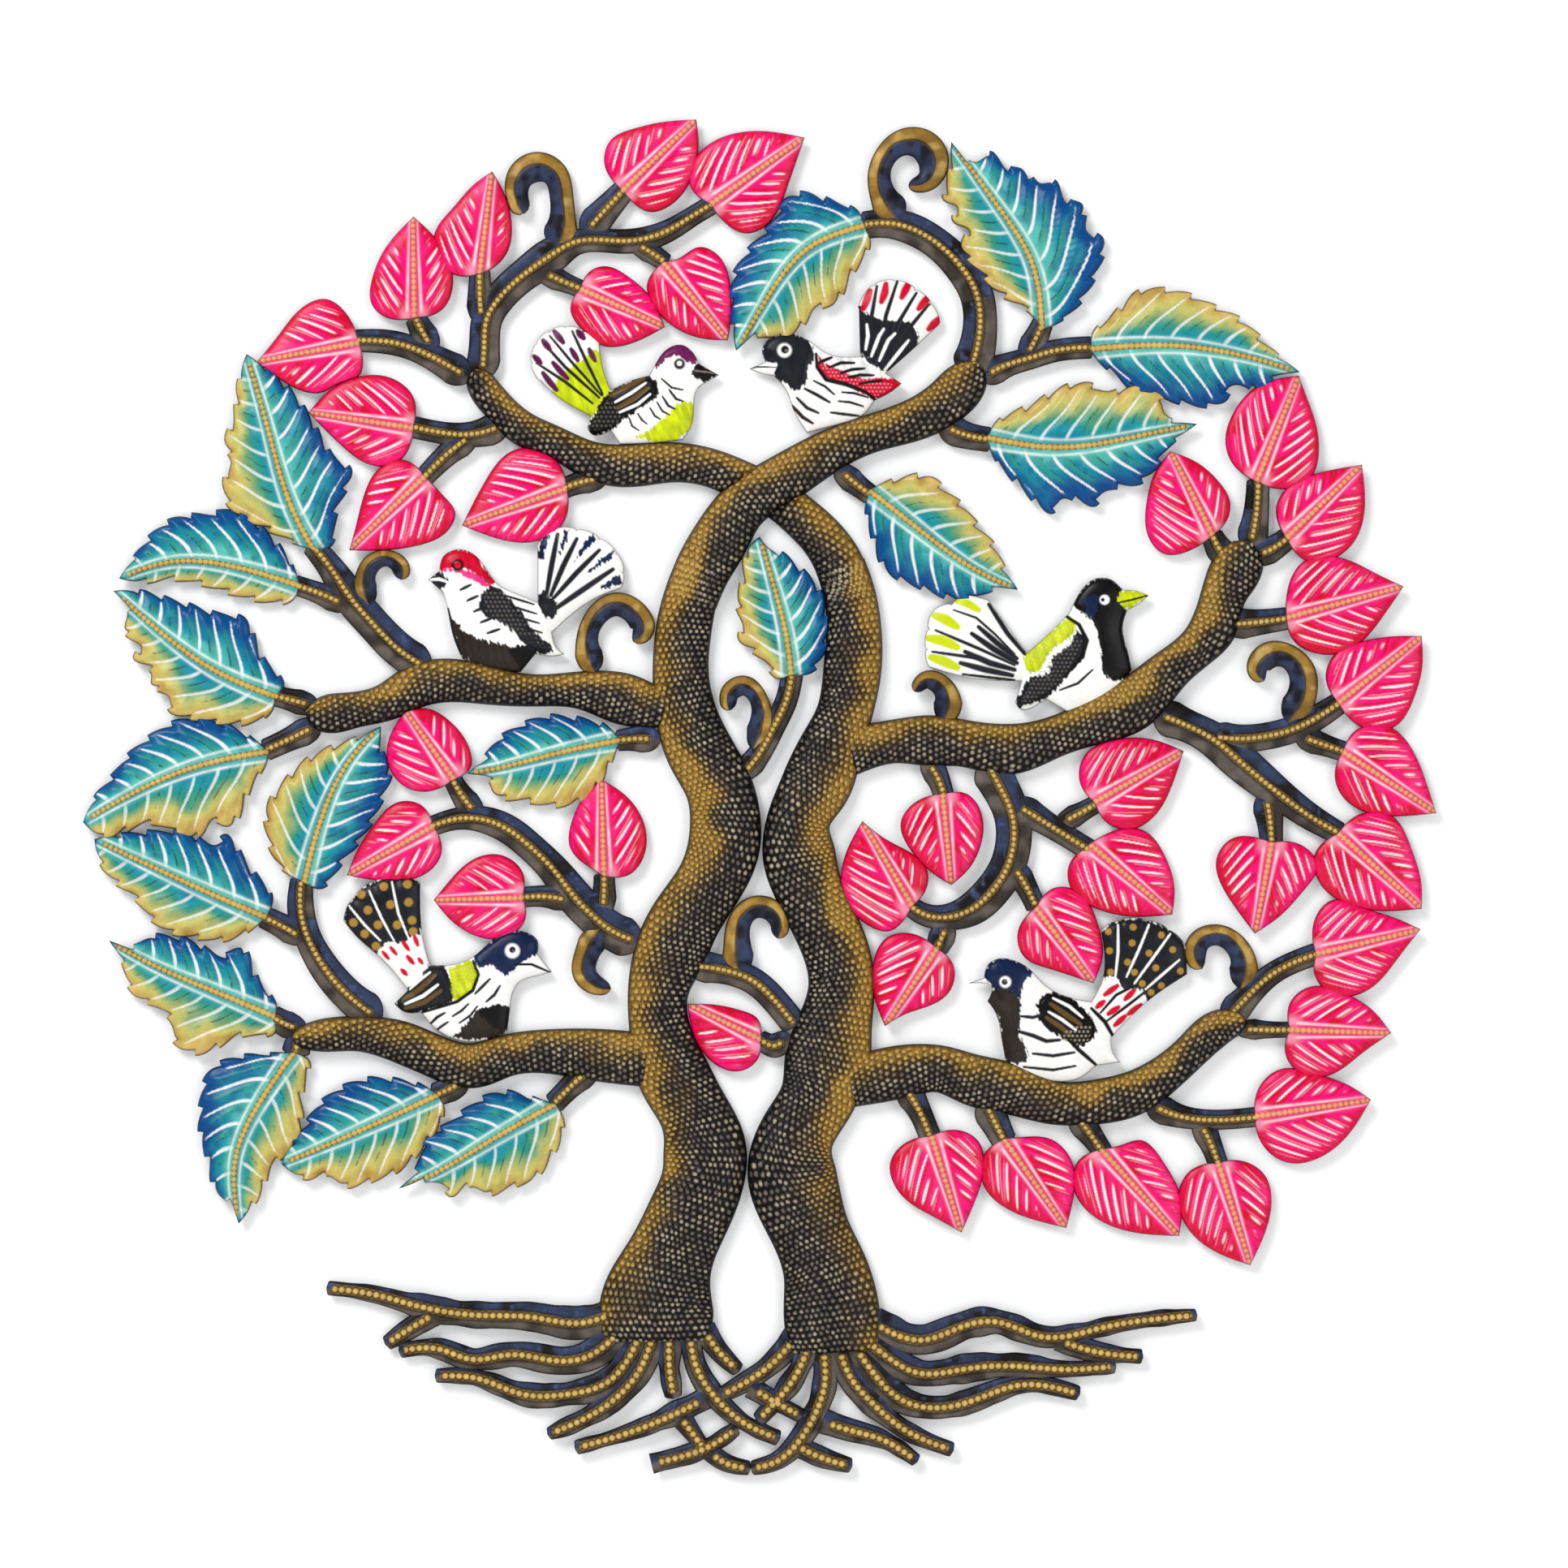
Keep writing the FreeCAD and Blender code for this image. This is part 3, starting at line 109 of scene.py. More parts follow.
TWIGS = {
    "twigs_top_left": [
        [(-123, 180, 6), (-122, 196, 6.5), (-121, 206, 6.8), (-116, 215, 7), (-102, 228, 7.5),
         (-92, 235, 8), (-82, 240.5, 6), (-60, 241, 5.5), (-40, 246, 5), (-30, 252, 4.5), (-20, 258, 4.5)],
        [(-123, 204, 5), (-124, 216, 5), (-124, 229, 4.5)],
        [(-78, 244, 6), (-70, 253, 6), (-59, 265, 5)],
        [(-98, 228, 5), (-88, 223.5, 4), (-77, 219, 4)],
        [(-57, 241, 4.5), (-49, 236.5, 4), (-41, 231, 4)],
    ],
    "twigs_left_upper": [
        [(-128, 180, 6), (-140, 187, 6), (-150, 192, 5.5), (-160, 195.5, 5.5), (-180, 197, 5)],
        [(-144, 192, 5), (-149, 200, 5), (-153, 208, 4.5)],
        [(-112, 160, 6), (-127, 155.5, 5.5), (-140, 156, 5), (-155, 159, 5)],
        [(-126, 156, 5), (-138, 147, 5), (-150, 135, 4.5)],
        [(-68, 136, 5), (-78, 134.5, 4.5), (-88, 131, 4.5)],
    ],
    "twigs_top_right": [
        [(92, 180, 8), (96, 192, 8), (97.8, 205, 7.5), (96, 218, 7.5), (89, 230, 7.5), (78, 240.5, 7),
         (66, 247, 7), (56, 249, 6.5), (45, 248, 6)],
        [(98, 180, 6), (108, 185.5, 5), (119, 189, 5), (131, 192.5, 5), (148, 194, 5)],
        [(117, 188, 5), (122, 197, 5), (126, 206, 4.5)],
        [(80, 160, 6), (90, 155.5, 5.5), (103, 153, 5.5)],
        [(34, 141, 5), (42, 134, 4.5), (50, 128, 4.5)],
    ],
    "twigs_mid_left": [
        [(-146, 51, 6), (-160, 60, 7.5), (-171, 71, 7.5), (-182, 84, 7.5), (-190, 96, 6), (-199, 107, 5)],
        [(-182, 79, 5), (-194, 84.5, 4.5), (-207, 89, 4.5)],
        [(-196, 34.5, 5), (-207, 37.5, 4.5), (-217, 40, 4.5)],
        [(-195, 27, 5.5), (-207, 21, 5), (-220, 15, 5)],
        [(-44, 20, 6), (-54, 20.5, 5), (-64, 19.5, 4.5)],
        [(-9, 3, 4.5), (0, 14, 4.8), (7, 27, 5), (12, 38, 5), (14.5, 50, 5)],
    ],
    "twigs_centre_right": [
        [(73, 12, 5), (79, 3, 4.5), (82, -6, 4.5)],
        [(100, 12, 8), (106, 0, 8), (111.5, -12, 8), (112.5, -26, 8), (109.5, -37, 8), (103, -47, 8),
         (94, -55, 7.5), (84, -58.5, 6), (72, -57, 5), (66, -53, 4.5)],
        [(111, -34, 5), (117, -43, 4.5), (123, -55, 4.5)],
        [(84, -60, 5), (81, -67, 5), (78, -74, 4.5)],
        [(112, -8, 6), (123, -14.5, 5.5), (135, -22, 5), (148, -30, 5)],
        [(132, -18, 4.5), (141, -13, 4), (150, -8, 4)],
    ],
    "twigs_mid_right": [
        [(217, 104, 6), (220, 119, 5.5), (221, 136, 5)],
        [(209, 98, 6), (203.5, 105, 5), (200, 112, 4.5)],
        [(218, 101, 6), (227, 104.5, 5), (236, 111, 5)],
        [(206, 71, 6), (220, 72, 5.5), (235, 74, 5)],
        [(175, 32, 8), (190, 26, 7), (202, 19.5, 8), (211, 12, 8.5), (221, 3.5, 8), (231, -4.5, 7),
         (244, -14, 6), (258, -22, 5)],
        [(224, -3, 6), (226, -14, 5.5), (227, -27, 5)],
        [(198, 22, 6), (210, 20.5, 6), (224, 21.5, 6), (236, 24.5, 6), (258, 37, 5)],
        [(238, 22, 5), (248, 18.5, 4.5), (260, 14.5, 4.5)],
    ],
    "twigs_low_left": [
        [(-168, -104, 7), (-178, -97, 7), (-187, -88.5, 7), (-195.5, -77, 6.5), (-200.5, -67, 6),
         (-203.5, -55, 6), (-203, -41, 5)],
        [(-201, -69, 5), (-210, -63.5, 5), (-221, -58, 5)],
        [(-201, -108.5, 5), (-209, -106.5, 5), (-217, -102, 5)],
        [(-204, -110, 6), (-206, -120, 5)],
        [(-130, -130, 6), (-137, -134.5, 5), (-145, -138, 5)],
        [(-73, -124, 6), (-82, -132, 5), (-92, -142, 5)],
    ],
    "twigs_centre_left": [
        [(-52, -70, 7), (-64, -65.5, 8), (-74, -58, 8), (-83, -48.5, 8), (-91, -38, 7), (-101, -28, 6.5),
         (-112, -19.5, 6.5), (-122, -15.5, 6), (-134, -15, 5), (-147, -19, 4.5)],
        [(-82, -52, 5), (-94, -49.5, 4.5), (-107, -50, 4.5)],
        [(-70, -58, 5), (-69, -49, 4.5), (-69, -39, 4.5)],
        [(-124, -14, 5), (-131, -6, 4.5), (-137, 4, 4)],
    ],
    "twigs_centre": [
        [(-32, -80, 6), (-22, -81, 6), (-12, -83, 6), (-2, -87.5, 6), (8, -97, 6), (16, -107, 6)],
        [(13, -110, 5), (7, -115.5, 4.5), (-1, -112, 4)],
    ],
    "twigs_low_right": [
        [(206, -105, 6), (216, -94, 5.5), (227, -84, 5), (248, -74.5, 5)],
        [(211, -108, 4), (222, -108.5, 3.5), (237, -108.5, 3.5)],
        [(172, -141, 6), (185, -146.5, 5), (200, -148.5, 4.5), (222, -147, 4.5)],
        [(194, -148, 5), (199, -157, 4.5), (204, -170, 4.5)],
        [(63, -132, 6), (70, -143, 5), (76, -157, 5)],
        [(99, -139, 6.5), (104, -149, 6), (109, -159, 5.5)],
        [(139, -145, 6), (146, -154, 5), (153, -164, 4.5)],
    ],
}

SCROLLS = {
    "scrolls_top": [
        [(-90, 238, 8), (-87.5, 250, 5.5), (-88, 262, 5.2), (-91, 271, 5.8), (-99, 274, 6.7),
         (-106.5, 269, 6), (-107.5, 261, 5), (-105, 253, 4.5)],
        [(62, 250, 8), (55, 261, 5.5), (53, 270, 5), (56, 279, 5), (64, 285, 6), (72, 284, 7),
         (77, 277, 7), (74, 268, 5), (66, 265.5, 2.5)],
    ],
    "scrolls_mid": [
        [(-173, 80, 5), (-175, 91, 3.8), (-172, 98, 4), (-165, 100.5, 3.7), (-159.5, 97, 4),
         (-158.5, 91, 3.5)],
        [(-73, 50, 6), (-76.5, 63, 4.5), (-73, 74, 4.7), (-64, 80, 5.3), (-55, 76, 5.6), (-52, 68, 5),
         (-56, 63.5, 2.5)],
        [(-3, 16, 4), (1, 30, 4.5), (-1, 39, 4), (-7, 44, 4.5), (-13, 41, 4.3), (-13.5, 33, 3.5)],
        [(81, 28, 6), (83.5, 37, 5), (80.5, 44, 4.5), (74, 46.5, 4), (68.5, 41.5, 2.5)],
        [(234, 28, 6), (240.5, 40, 6), (240.5, 50, 6), (233, 57.5, 5.5), (225, 57, 6), (221, 50, 4.6),
         (223.5, 46, 2.5)],
    ],
    "scrolls_low": [
        [(213, -90, 5.5), (214.5, -78, 5), (210, -70, 4.8), (202, -66.5, 4.7), (194.5, -70, 5),
         (193.5, -77, 4.6), (196, -81.5, 3)],
        [(-70, -63, 5), (-77, -76, 5), (-77.5, -84, 5.2), (-72, -89, 4.3), (-66, -90.5, 2.5)],
        [(-9, -84, 6), (-10, -70, 5.5), (-9, -61, 5.2), (-3, -54.5, 5), (5, -55.5, 5), (9, -62, 4.3),
         (8, -68, 3.5)],
    ],
}

ROOT_TIP = 3.2               # half-width of a root strand at its blunt tip

# Root strands: the half-width where the strand starts, then its centreline.
ROOTS = {
    "roots_left": [
        (7.0, [(-62, -233), (-80, -238.5), (-100, -236), (-125, -235), (-155, -230), (-170, -226),
               (-192, -223)]),
        (5.0, [(-143, -234), (-155, -241), (-166, -248)]),
        (7.0, [(-58, -237), (-68, -248), (-78, -254), (-92, -255), (-110, -252.5), (-128, -254.5),
         (-142, -250), (-160, -251)]),
        (6.8, [(-52, -240), (-58, -254), (-68, -265), (-85, -270), (-105, -270), (-125, -263), (-144, -262)]),
        (6.2, [(-47, -243), (-52, -257), (-64, -272), (-76, -280), (-94, -288)]),
    ],
    "roots_centre": [
        (5.6, [(-40, -243), (-40, -258), (-38, -272)]),
        (5.2, [(-24, -272), (-38, -279), (-55, -286), (-82, -294)]),
        (5.6, [(-31, -243), (-28, -258), (-20, -271), (-8, -282), (9, -290)]),
        (5.4, [(-25, -241), (-19, -250), (-9, -260)]),
        (5.6, [(16, -245), (6, -256), (-5, -264), (-18, -271)]),
        (5.4, [(22, -247), (17, -260), (10, -270), (-1, -282)]),
        (6.0, [(28, -249), (29, -264), (25, -278), (18, -290), (8, -299.5), (-4, -303)]),
        (5.0, [(-48, -301), (-36, -298), (-24, -294), (-10, -285)]),
        (4.6, [(-23, -295), (-15, -300.5), (-4, -303)]),
        (5.0, [(15, -292), (26, -297.5), (41, -302)]),
        (4.6, [(-36, -279), (-30, -287), (-24, -295)]),
        (5.0, [(-4, -267), (6, -273), (19, -280)]),
    ],
    "roots_right": [
        (6.2, [(35, -249), (40, -262), (50, -274), (63, -285), (86, -295)]),
        (5.4, [(28, -282), (40, -286), (54, -290), (70, -300)]),
        (6.8, [(42, -249), (50, -260), (62, -272), (80, -276), (98, -271.5), (115, -266), (142, -270)]),
        (7.0, [(47, -246), (56, -253), (70, -260.5), (90, -259), (112, -257.5), (135, -259), (158, -257.5)]),
        (5.0, [(132, -246), (146, -250.5), (170, -253.5)]),
        (7.2, [(50, -238), (60, -243.5), (72, -246), (90, -240), (105, -238), (125, -244.5), (150, -241),
         (194, -235)]),
    ],
}

# Heart leaves: base, tip, then the points of one side and of the other side from base to tip.
PINK_LEAVES = {
    "pink_leaves_top_left": [
        ((-177, 196), (-223, 187.5), [(-184, 210), (-192.5, 215.5), (-201, 213), (-213, 200)],
         [(-178, 181), (-186, 178), (-194, 174), (-210, 178)]),
        ((-153, 206.5), (-153.5, 252), [(-165, 207), (-172, 213), (-172, 224), (-166, 238)],
         [(-141, 210.5), (-136, 226), (-140, 237), (-145, 244)]),
        ((-153, 158), (-200, 165), [(-153.5, 172), (-165, 181), (-178, 181), (-192, 174)],
         [(-156, 148), (-162, 142), (-173, 142), (-185, 150)]),
        ((-148, 137), (-182, 104), [(-157, 144), (-168, 141), (-175, 130), (-179, 115)],
         [(-139, 127), (-135, 121), (-138, 113), (-152, 106), (-166, 104)]),
    ],
    "pink_leaves_top": [
        ((-124, 226), (-118.5, 272), [(-135, 226), (-144.5, 243), (-136, 256), (-127, 266)],
         [(-117, 230), (-111.5, 237), (-110, 250), (-113.5, 263)]),
        ((-61, 263), (-28, 295), [(-69, 276), (-66, 286), (-56, 291), (-43, 294)],
         [(-48, 254), (-37, 259), (-31, 267), (-27, 282)]),
        ((-22, 257), (20, 287), [(-31, 266), (-31, 273), (-24, 283), (0, 290)],
         [(-14, 248), (-6, 244.5), (3, 248), (12, 264)]),
        ((-80, 220), (-42, 203), [(-75, 228), (-68, 230), (-59, 226), (-48, 216)],
         [(-84, 211), (-80, 203), (-69, 194.5), (-56, 196)]),
        ((-43, 232), (-14, 197), [(-50, 222), (-47, 212), (-38, 203), (-26, 198)],
         [(-36, 233.5), (-27, 238.5), (-18, 234.5), (-13, 222), (-12.5, 209)]),
        ((-85, 131.5), (-132, 115), [(-88, 141), (-98, 149), (-110, 148), (-121, 136)],
         [(-86, 118), (-92, 111), (-102, 107.5), (-119, 110)]),
    ],
    "pink_leaves_right": [
        ((220, 134), (239, 181.5), [(210, 142), (206.5, 152), (209, 163), (221, 177)],
         [(232, 131), (245, 137), (248, 147), (247, 159), (243, 171)]),
        ((201, 110), (182, 148), [(190, 103.5), (179, 102.5), (172, 111), (171.5, 125), (175, 138)],
         [(208, 119), (208.5, 126), (204, 134), (194, 143)]),
        ((233, 109), (267, 142), [(229, 123), (234, 132), (248, 138.5)],
         [(242, 99.5), (256, 101), (265, 110), (268.5, 126)]),
        ((233, 74), (285.5, 88), [(235, 90), (241, 99), (257, 101), (273, 94)],
         [(236, 65), (248, 58), (260, 59), (276, 74)]),
        ((256, 36), (293.5, 66), [(251, 48), (255, 58), (268, 64), (282, 66)],
         [(268, 25), (282, 26), (290, 38), (294, 54)]),
        ((258, 15), (300, -12.5), [(264, 24), (279, 26), (288, 18), (295, 3)],
         [(255, 5), (257, -3), (268, -12), (284, -14)]),
        ((256, -21), (293.5, -55), [(266, -13), (280, -13.5), (289, -28), (293.5, -44)],
         [(246, -31), (248, -43), (258, -52), (277, -56)]),
    ],
    "pink_leaves_centre_right": [
        ((148, -8), (188, 15), [(142, 1), (144, 13), (159, 20.5), (175, 20)],
         [(153, -16), (164, -20), (174, -15), (183, 0)]),
        ((81, -3.5), (85, -44.5), [(70, -7), (62.5, -17), (67, -29), (77, -39.5)],
         [(92, -4), (98.5, -13), (98, -27), (93, -37)]),
        ((68, -54), (45.5, -16), [(57, -65), (46, -61), (37, -50), (37, -34)],
         [(74, -46), (74, -37), (67, -30), (56, -24)]),
        ((79, -72), (55.5, -107), [(68, -66), (56, -68), (50.5, -78), (51, -95)],
         [(86, -80), (84, -92), (74, -98.5), (64, -102)]),
        ((122, -54), (148, -88), [(114.5, -65), (117, -76), (128, -81.5), (139, -85)],
         [(131, -45.5), (141, -47), (149.5, -60), (152, -77)]),
        ((146, -26), (183, -57.5), [(158, -20), (170, -20), (180, -32), (184, -46)],
         [(137, -36), (138, -46), (152, -56), (172, -58.5)]),
        ((227, -25), (219.5, -66), [(209, -24), (202.5, -33), (205, -45), (212, -56)],
         [(240, -26.5), (247.5, -36), (242, -46), (231, -58)]),
    ],
    "pink_leaves_low_right": [
        ((246, -75), (293, -64), [(246, -60), (254, -51), (267, -54), (282, -59)],
         [(246, -84), (254, -93), (268, -92), (283, -77)]),
        ((234.5, -108.5), (280, -110), [(235, -97), (244, -89.5), (259, -92), (272, -100)],
         [(233, -119), (240, -128), (252, -129), (266, -120)]),
        ((219, -147), (271, -139.5), [(221, -135), (231, -126), (247, -128), (261, -133)],
         [(222, -158), (234, -167.5), (249, -165), (262, -154)]),
        ((203, -167), (217.5, -213), [(191, -171), (185.5, -182), (190, -197), (204, -208)],
         [(213, -166.5), (224, -173), (227, -185), (224, -199)]),
        ((151, -161), (186, -200), [(141, -167), (139.5, -180), (149, -192), (166, -198.5)],
         [(159, -160), (169, -157.5), (179, -167), (187, -184)]),
        ((108, -156.5), (136, -196.5), [(100, -163), (99, -177), (108, -187), (122, -193)],
         [(117, -156), (129, -157), (138.5, -167), (139, -184)]),
        ((76, -155), (89.5, -198.5), [(65, -158.5), (58, -167), (62, -181), (76, -191)],
         [(88, -153), (97, -158), (99.5, -170), (95, -186)]),
    ],
    "pink_leaves_centre_left": [
        ((-135, 2), (-157, 33), [(-147, -3), (-157, -1), (-165, 10), (-163, 24)],
         [(-128, 8), (-129, 17), (-137, 28), (-148, 34)]),
        ((-144, -18), (-183, -40), [(-150, -9), (-160, -7.5), (-170, -16), (-178, -28)],
         [(-141, -30), (-149, -40), (-160, -42.5), (-173, -42)]),
        ((-69, -41), (-70, 2.5), [(-75, -37), (-84, -28), (-83, -15), (-77, -4)],
         [(-58, -40), (-50.5, -29), (-52, -15), (-59, -5)]),
        ((-104.5, -50), (-144.5, -51), [(-105, -39), (-115, -31), (-127, -33), (-138, -43)],
         [(-104, -60), (-114, -68), (-126, -67), (-138, -59)]),
        ((1, -113), (-32, -97), [(-1, -103.5), (-8, -100), (-19, -97.5)],
         [(-1, -122), (-9, -127), (-21, -123), (-30, -109)]),
    ],
}

# Toothed leaves: the midrib from base to tip, then each side's teeth from base to tip.
TEAL_LEAVES = {
    "teal_leaf_left_upper": ([(-197, 103), (-206, 120), (-217, 155), (-222, 173), (-227.5, 191)],
        [(-204, 106), (-220, 114), (-234, 122), (-236, 139), (-234, 143), (-237, 151), (-234, 160),
         (-232, 174)],
        [(-190, 106), (-188, 120), (-182.5, 141), (-187, 144), (-195, 155), (-202, 167), (-213, 180)]),
    "teal_leaf_left_far": ([(-203, 88), (-230, 96), (-262, 98.5), (-284, 91.5)],
        [(-207, 97), (-213, 106), (-227, 119), (-233, 122), (-243, 120.5), (-257, 119), (-267, 113.5),
         (-276, 103)],
        [(-207, 82), (-218, 81), (-230, 83.5), (-246, 88.5), (-262, 91), (-273, 90)]),
    "teal_leaf_left_mid": ([(-214, 39), (-240, 50), (-268, 70), (-286.5, 86)],
        [(-211, 43), (-220, 56), (-229, 74), (-240, 76), (-250, 79), (-262, 82.5), (-275, 86)],
        [(-216, 33), (-237, 27), (-250, 29), (-262, 35), (-262, 39), (-270, 45), (-269, 49), (-277, 57),
         (-275, 60), (-282, 69), (-280, 74)]),
    "teal_leaf_left_low": ([(-217, 15), (-250, 8), (-280, -5), (-300, -16.5)],
        [(-227, 22), (-236, 26.5), (-256, 29), (-271, 21), (-281, 12), (-287, 4), (-293, -3)],
        [(-218, 11), (-226, -2), (-237, -18), (-241, -16), (-248, -22), (-270, -17), (-291, -23)]),
    "teal_leaf_left_outer": ([(-218, -59), (-250, -45), (-280, -31), (-295, -24)],
        [(-216, -52), (-228, -34), (-238, -23), (-241, -26), (-252, -22), (-265, -20.5), (-275, -21)],
        [(-225, -64), (-240, -69), (-245, -68.5), (-262, -65), (-271, -58), (-278, -49), (-286, -43),
         (-292, -35)]),
    "teal_leaf_left_lower": ([(-214, -103), (-240, -92), (-270, -79), (-288.5, -69)],
        [(-214, -98), (-222, -87), (-231, -72), (-236, -75), (-250, -70), (-262, -67), (-271, -67.5),
         (-276, -71)],
        [(-215, -110), (-228, -111), (-250, -119), (-260, -112), (-260, -108), (-268, -98), (-276, -94),
         (-281, -85), (-282, -80)]),
    "teal_leaf_left_base": ([(-206, -118), (-221, -140), (-232, -165), (-231, -194.5)],
        [(-222, -119.5), (-233, -121), (-243, -126), (-248, -142), (-248, -155), (-244, -169), (-240, -181),
         (-236, -184)],
        [(-200, -122), (-202, -133), (-203, -150), (-206, -160), (-217, -170), (-220, -178), (-226, -188)]),
    "teal_leaf_low_left": ([(-142, -137), (-170, -150), (-200, -163), (-212, -168)],
        [(-150, -133), (-162, -130.5), (-172, -130), (-190, -137), (-198, -145), (-201, -150), (-209, -161)],
        [(-140, -142), (-147, -158), (-160, -171), (-175, -176.5), (-186, -177), (-190, -173),
         (-198, -174.5)]),
    "teal_leaf_low_centre": ([(-90, -141), (-120, -158), (-150, -175), (-160, -179)],
        [(-103, -138), (-113, -136), (-125, -140), (-133, -146), (-141, -152), (-148, -157), (-152, -170)],
        [(-87, -148), (-93, -166), (-100, -174.5), (-112, -179), (-122, -181), (-127, -177.5), (-137, -182),
         (-140, -178.5)]),
    "teal_leaf_centre_left": ([(-202, -44), (-193, -12), (-180, 13), (-168, 26)],
        [(-211, -38), (-219, -18), (-219, -12), (-212, 0), (-203, 9.5), (-192, 16), (-181, 20)],
        [(-195, -46), (-187, -37), (-180, -28), (-173, -18), (-166, -3), (-164, 7), (-167, 14)]),
    "teal_leaf_under_limb": ([(-61, 20), (-90, 14), (-118, 7), (-130, 5)],
        [(-68, 26), (-80, 29.5), (-97, 30), (-106, 26.5), (-118, 18), (-123, 10.5)],
        [(-65, 12), (-73, -2), (-85, -9), (-98, -8.5), (-105, -7), (-118, -3), (-119, 1)]),
    "teal_leaf_centre": ([(14, 48), (12, 65), (8, 82), (0, 110)],
        [(8, 47), (2, 55), (-9, 66), (-8, 70), (-10, 80), (-8, 90), (-5, 105)],
        [(21, 49), (29.5, 62), (30, 75), (25, 89), (17, 97), (9, 103), (4, 105)]),
    "teal_leaf_right_inner": ([(48, 131), (72, 112), (98, 94), (114.5, 86.5)],
        [(55, 134), (62, 136), (77, 136), (82, 131), (90, 124), (97.5, 114), (104, 106), (108, 97)],
        [(47, 122), (50, 110), (56, 95.5), (70, 88), (82, 83.5), (95, 83), (105, 87)]),
    "teal_leaf_top": ([(47, 248), (22, 238), (0, 210), (-10.5, 192.5)],
        [(43, 255), (35, 258), (19, 262.5), (13, 261), (7, 252), (-1, 242), (-8, 233), (-12, 224),
         (-13, 215)],
        [(49, 242), (40, 225), (32, 213), (25, 211), (20, 205), (8, 198), (-1, 199)]),
    "teal_leaf_top_right": ([(125, 201), (121, 230), (105, 257), (85, 285)],
        [(118, 211), (106, 218), (97, 228), (90, 241), (92, 245), (86, 251), (87, 256), (82, 260), (82, 263),
         (84, 272)],
        [(131, 204), (150.5, 230), (151, 243), (145, 246), (143, 257.5), (137, 259), (129, 268), (125, 266.5),
         (116, 273), (111, 273.5), (101, 280), (97.5, 276.5)]),
    "teal_leaf_right_upper": ([(146, 193), (185, 194.5), (222, 188), (239.5, 183)],
        [(148, 201), (155, 207), (170, 219.5), (177, 220), (190, 217.5), (201, 212.5), (213, 206.5),
         (226, 194)],
        [(150, 188), (159, 181), (165, 176), (180, 171), (196, 168), (207, 171.5), (209, 176), (216, 177),
         (220, 175), (228, 180)]),
    "teal_leaf_right_lower": ([(100, 154), (130, 149.5), (170, 155), (194, 160)],
        [(105, 161), (118, 167.5), (135, 176.5), (147, 177.5), (155, 174), (162, 176), (179, 169.5),
         (179, 166)],
        [(104, 145), (117, 131), (131, 122), (134, 127), (149, 124.5), (152, 129), (166, 133), (176, 141),
         (180, 148), (187, 155)]),
}

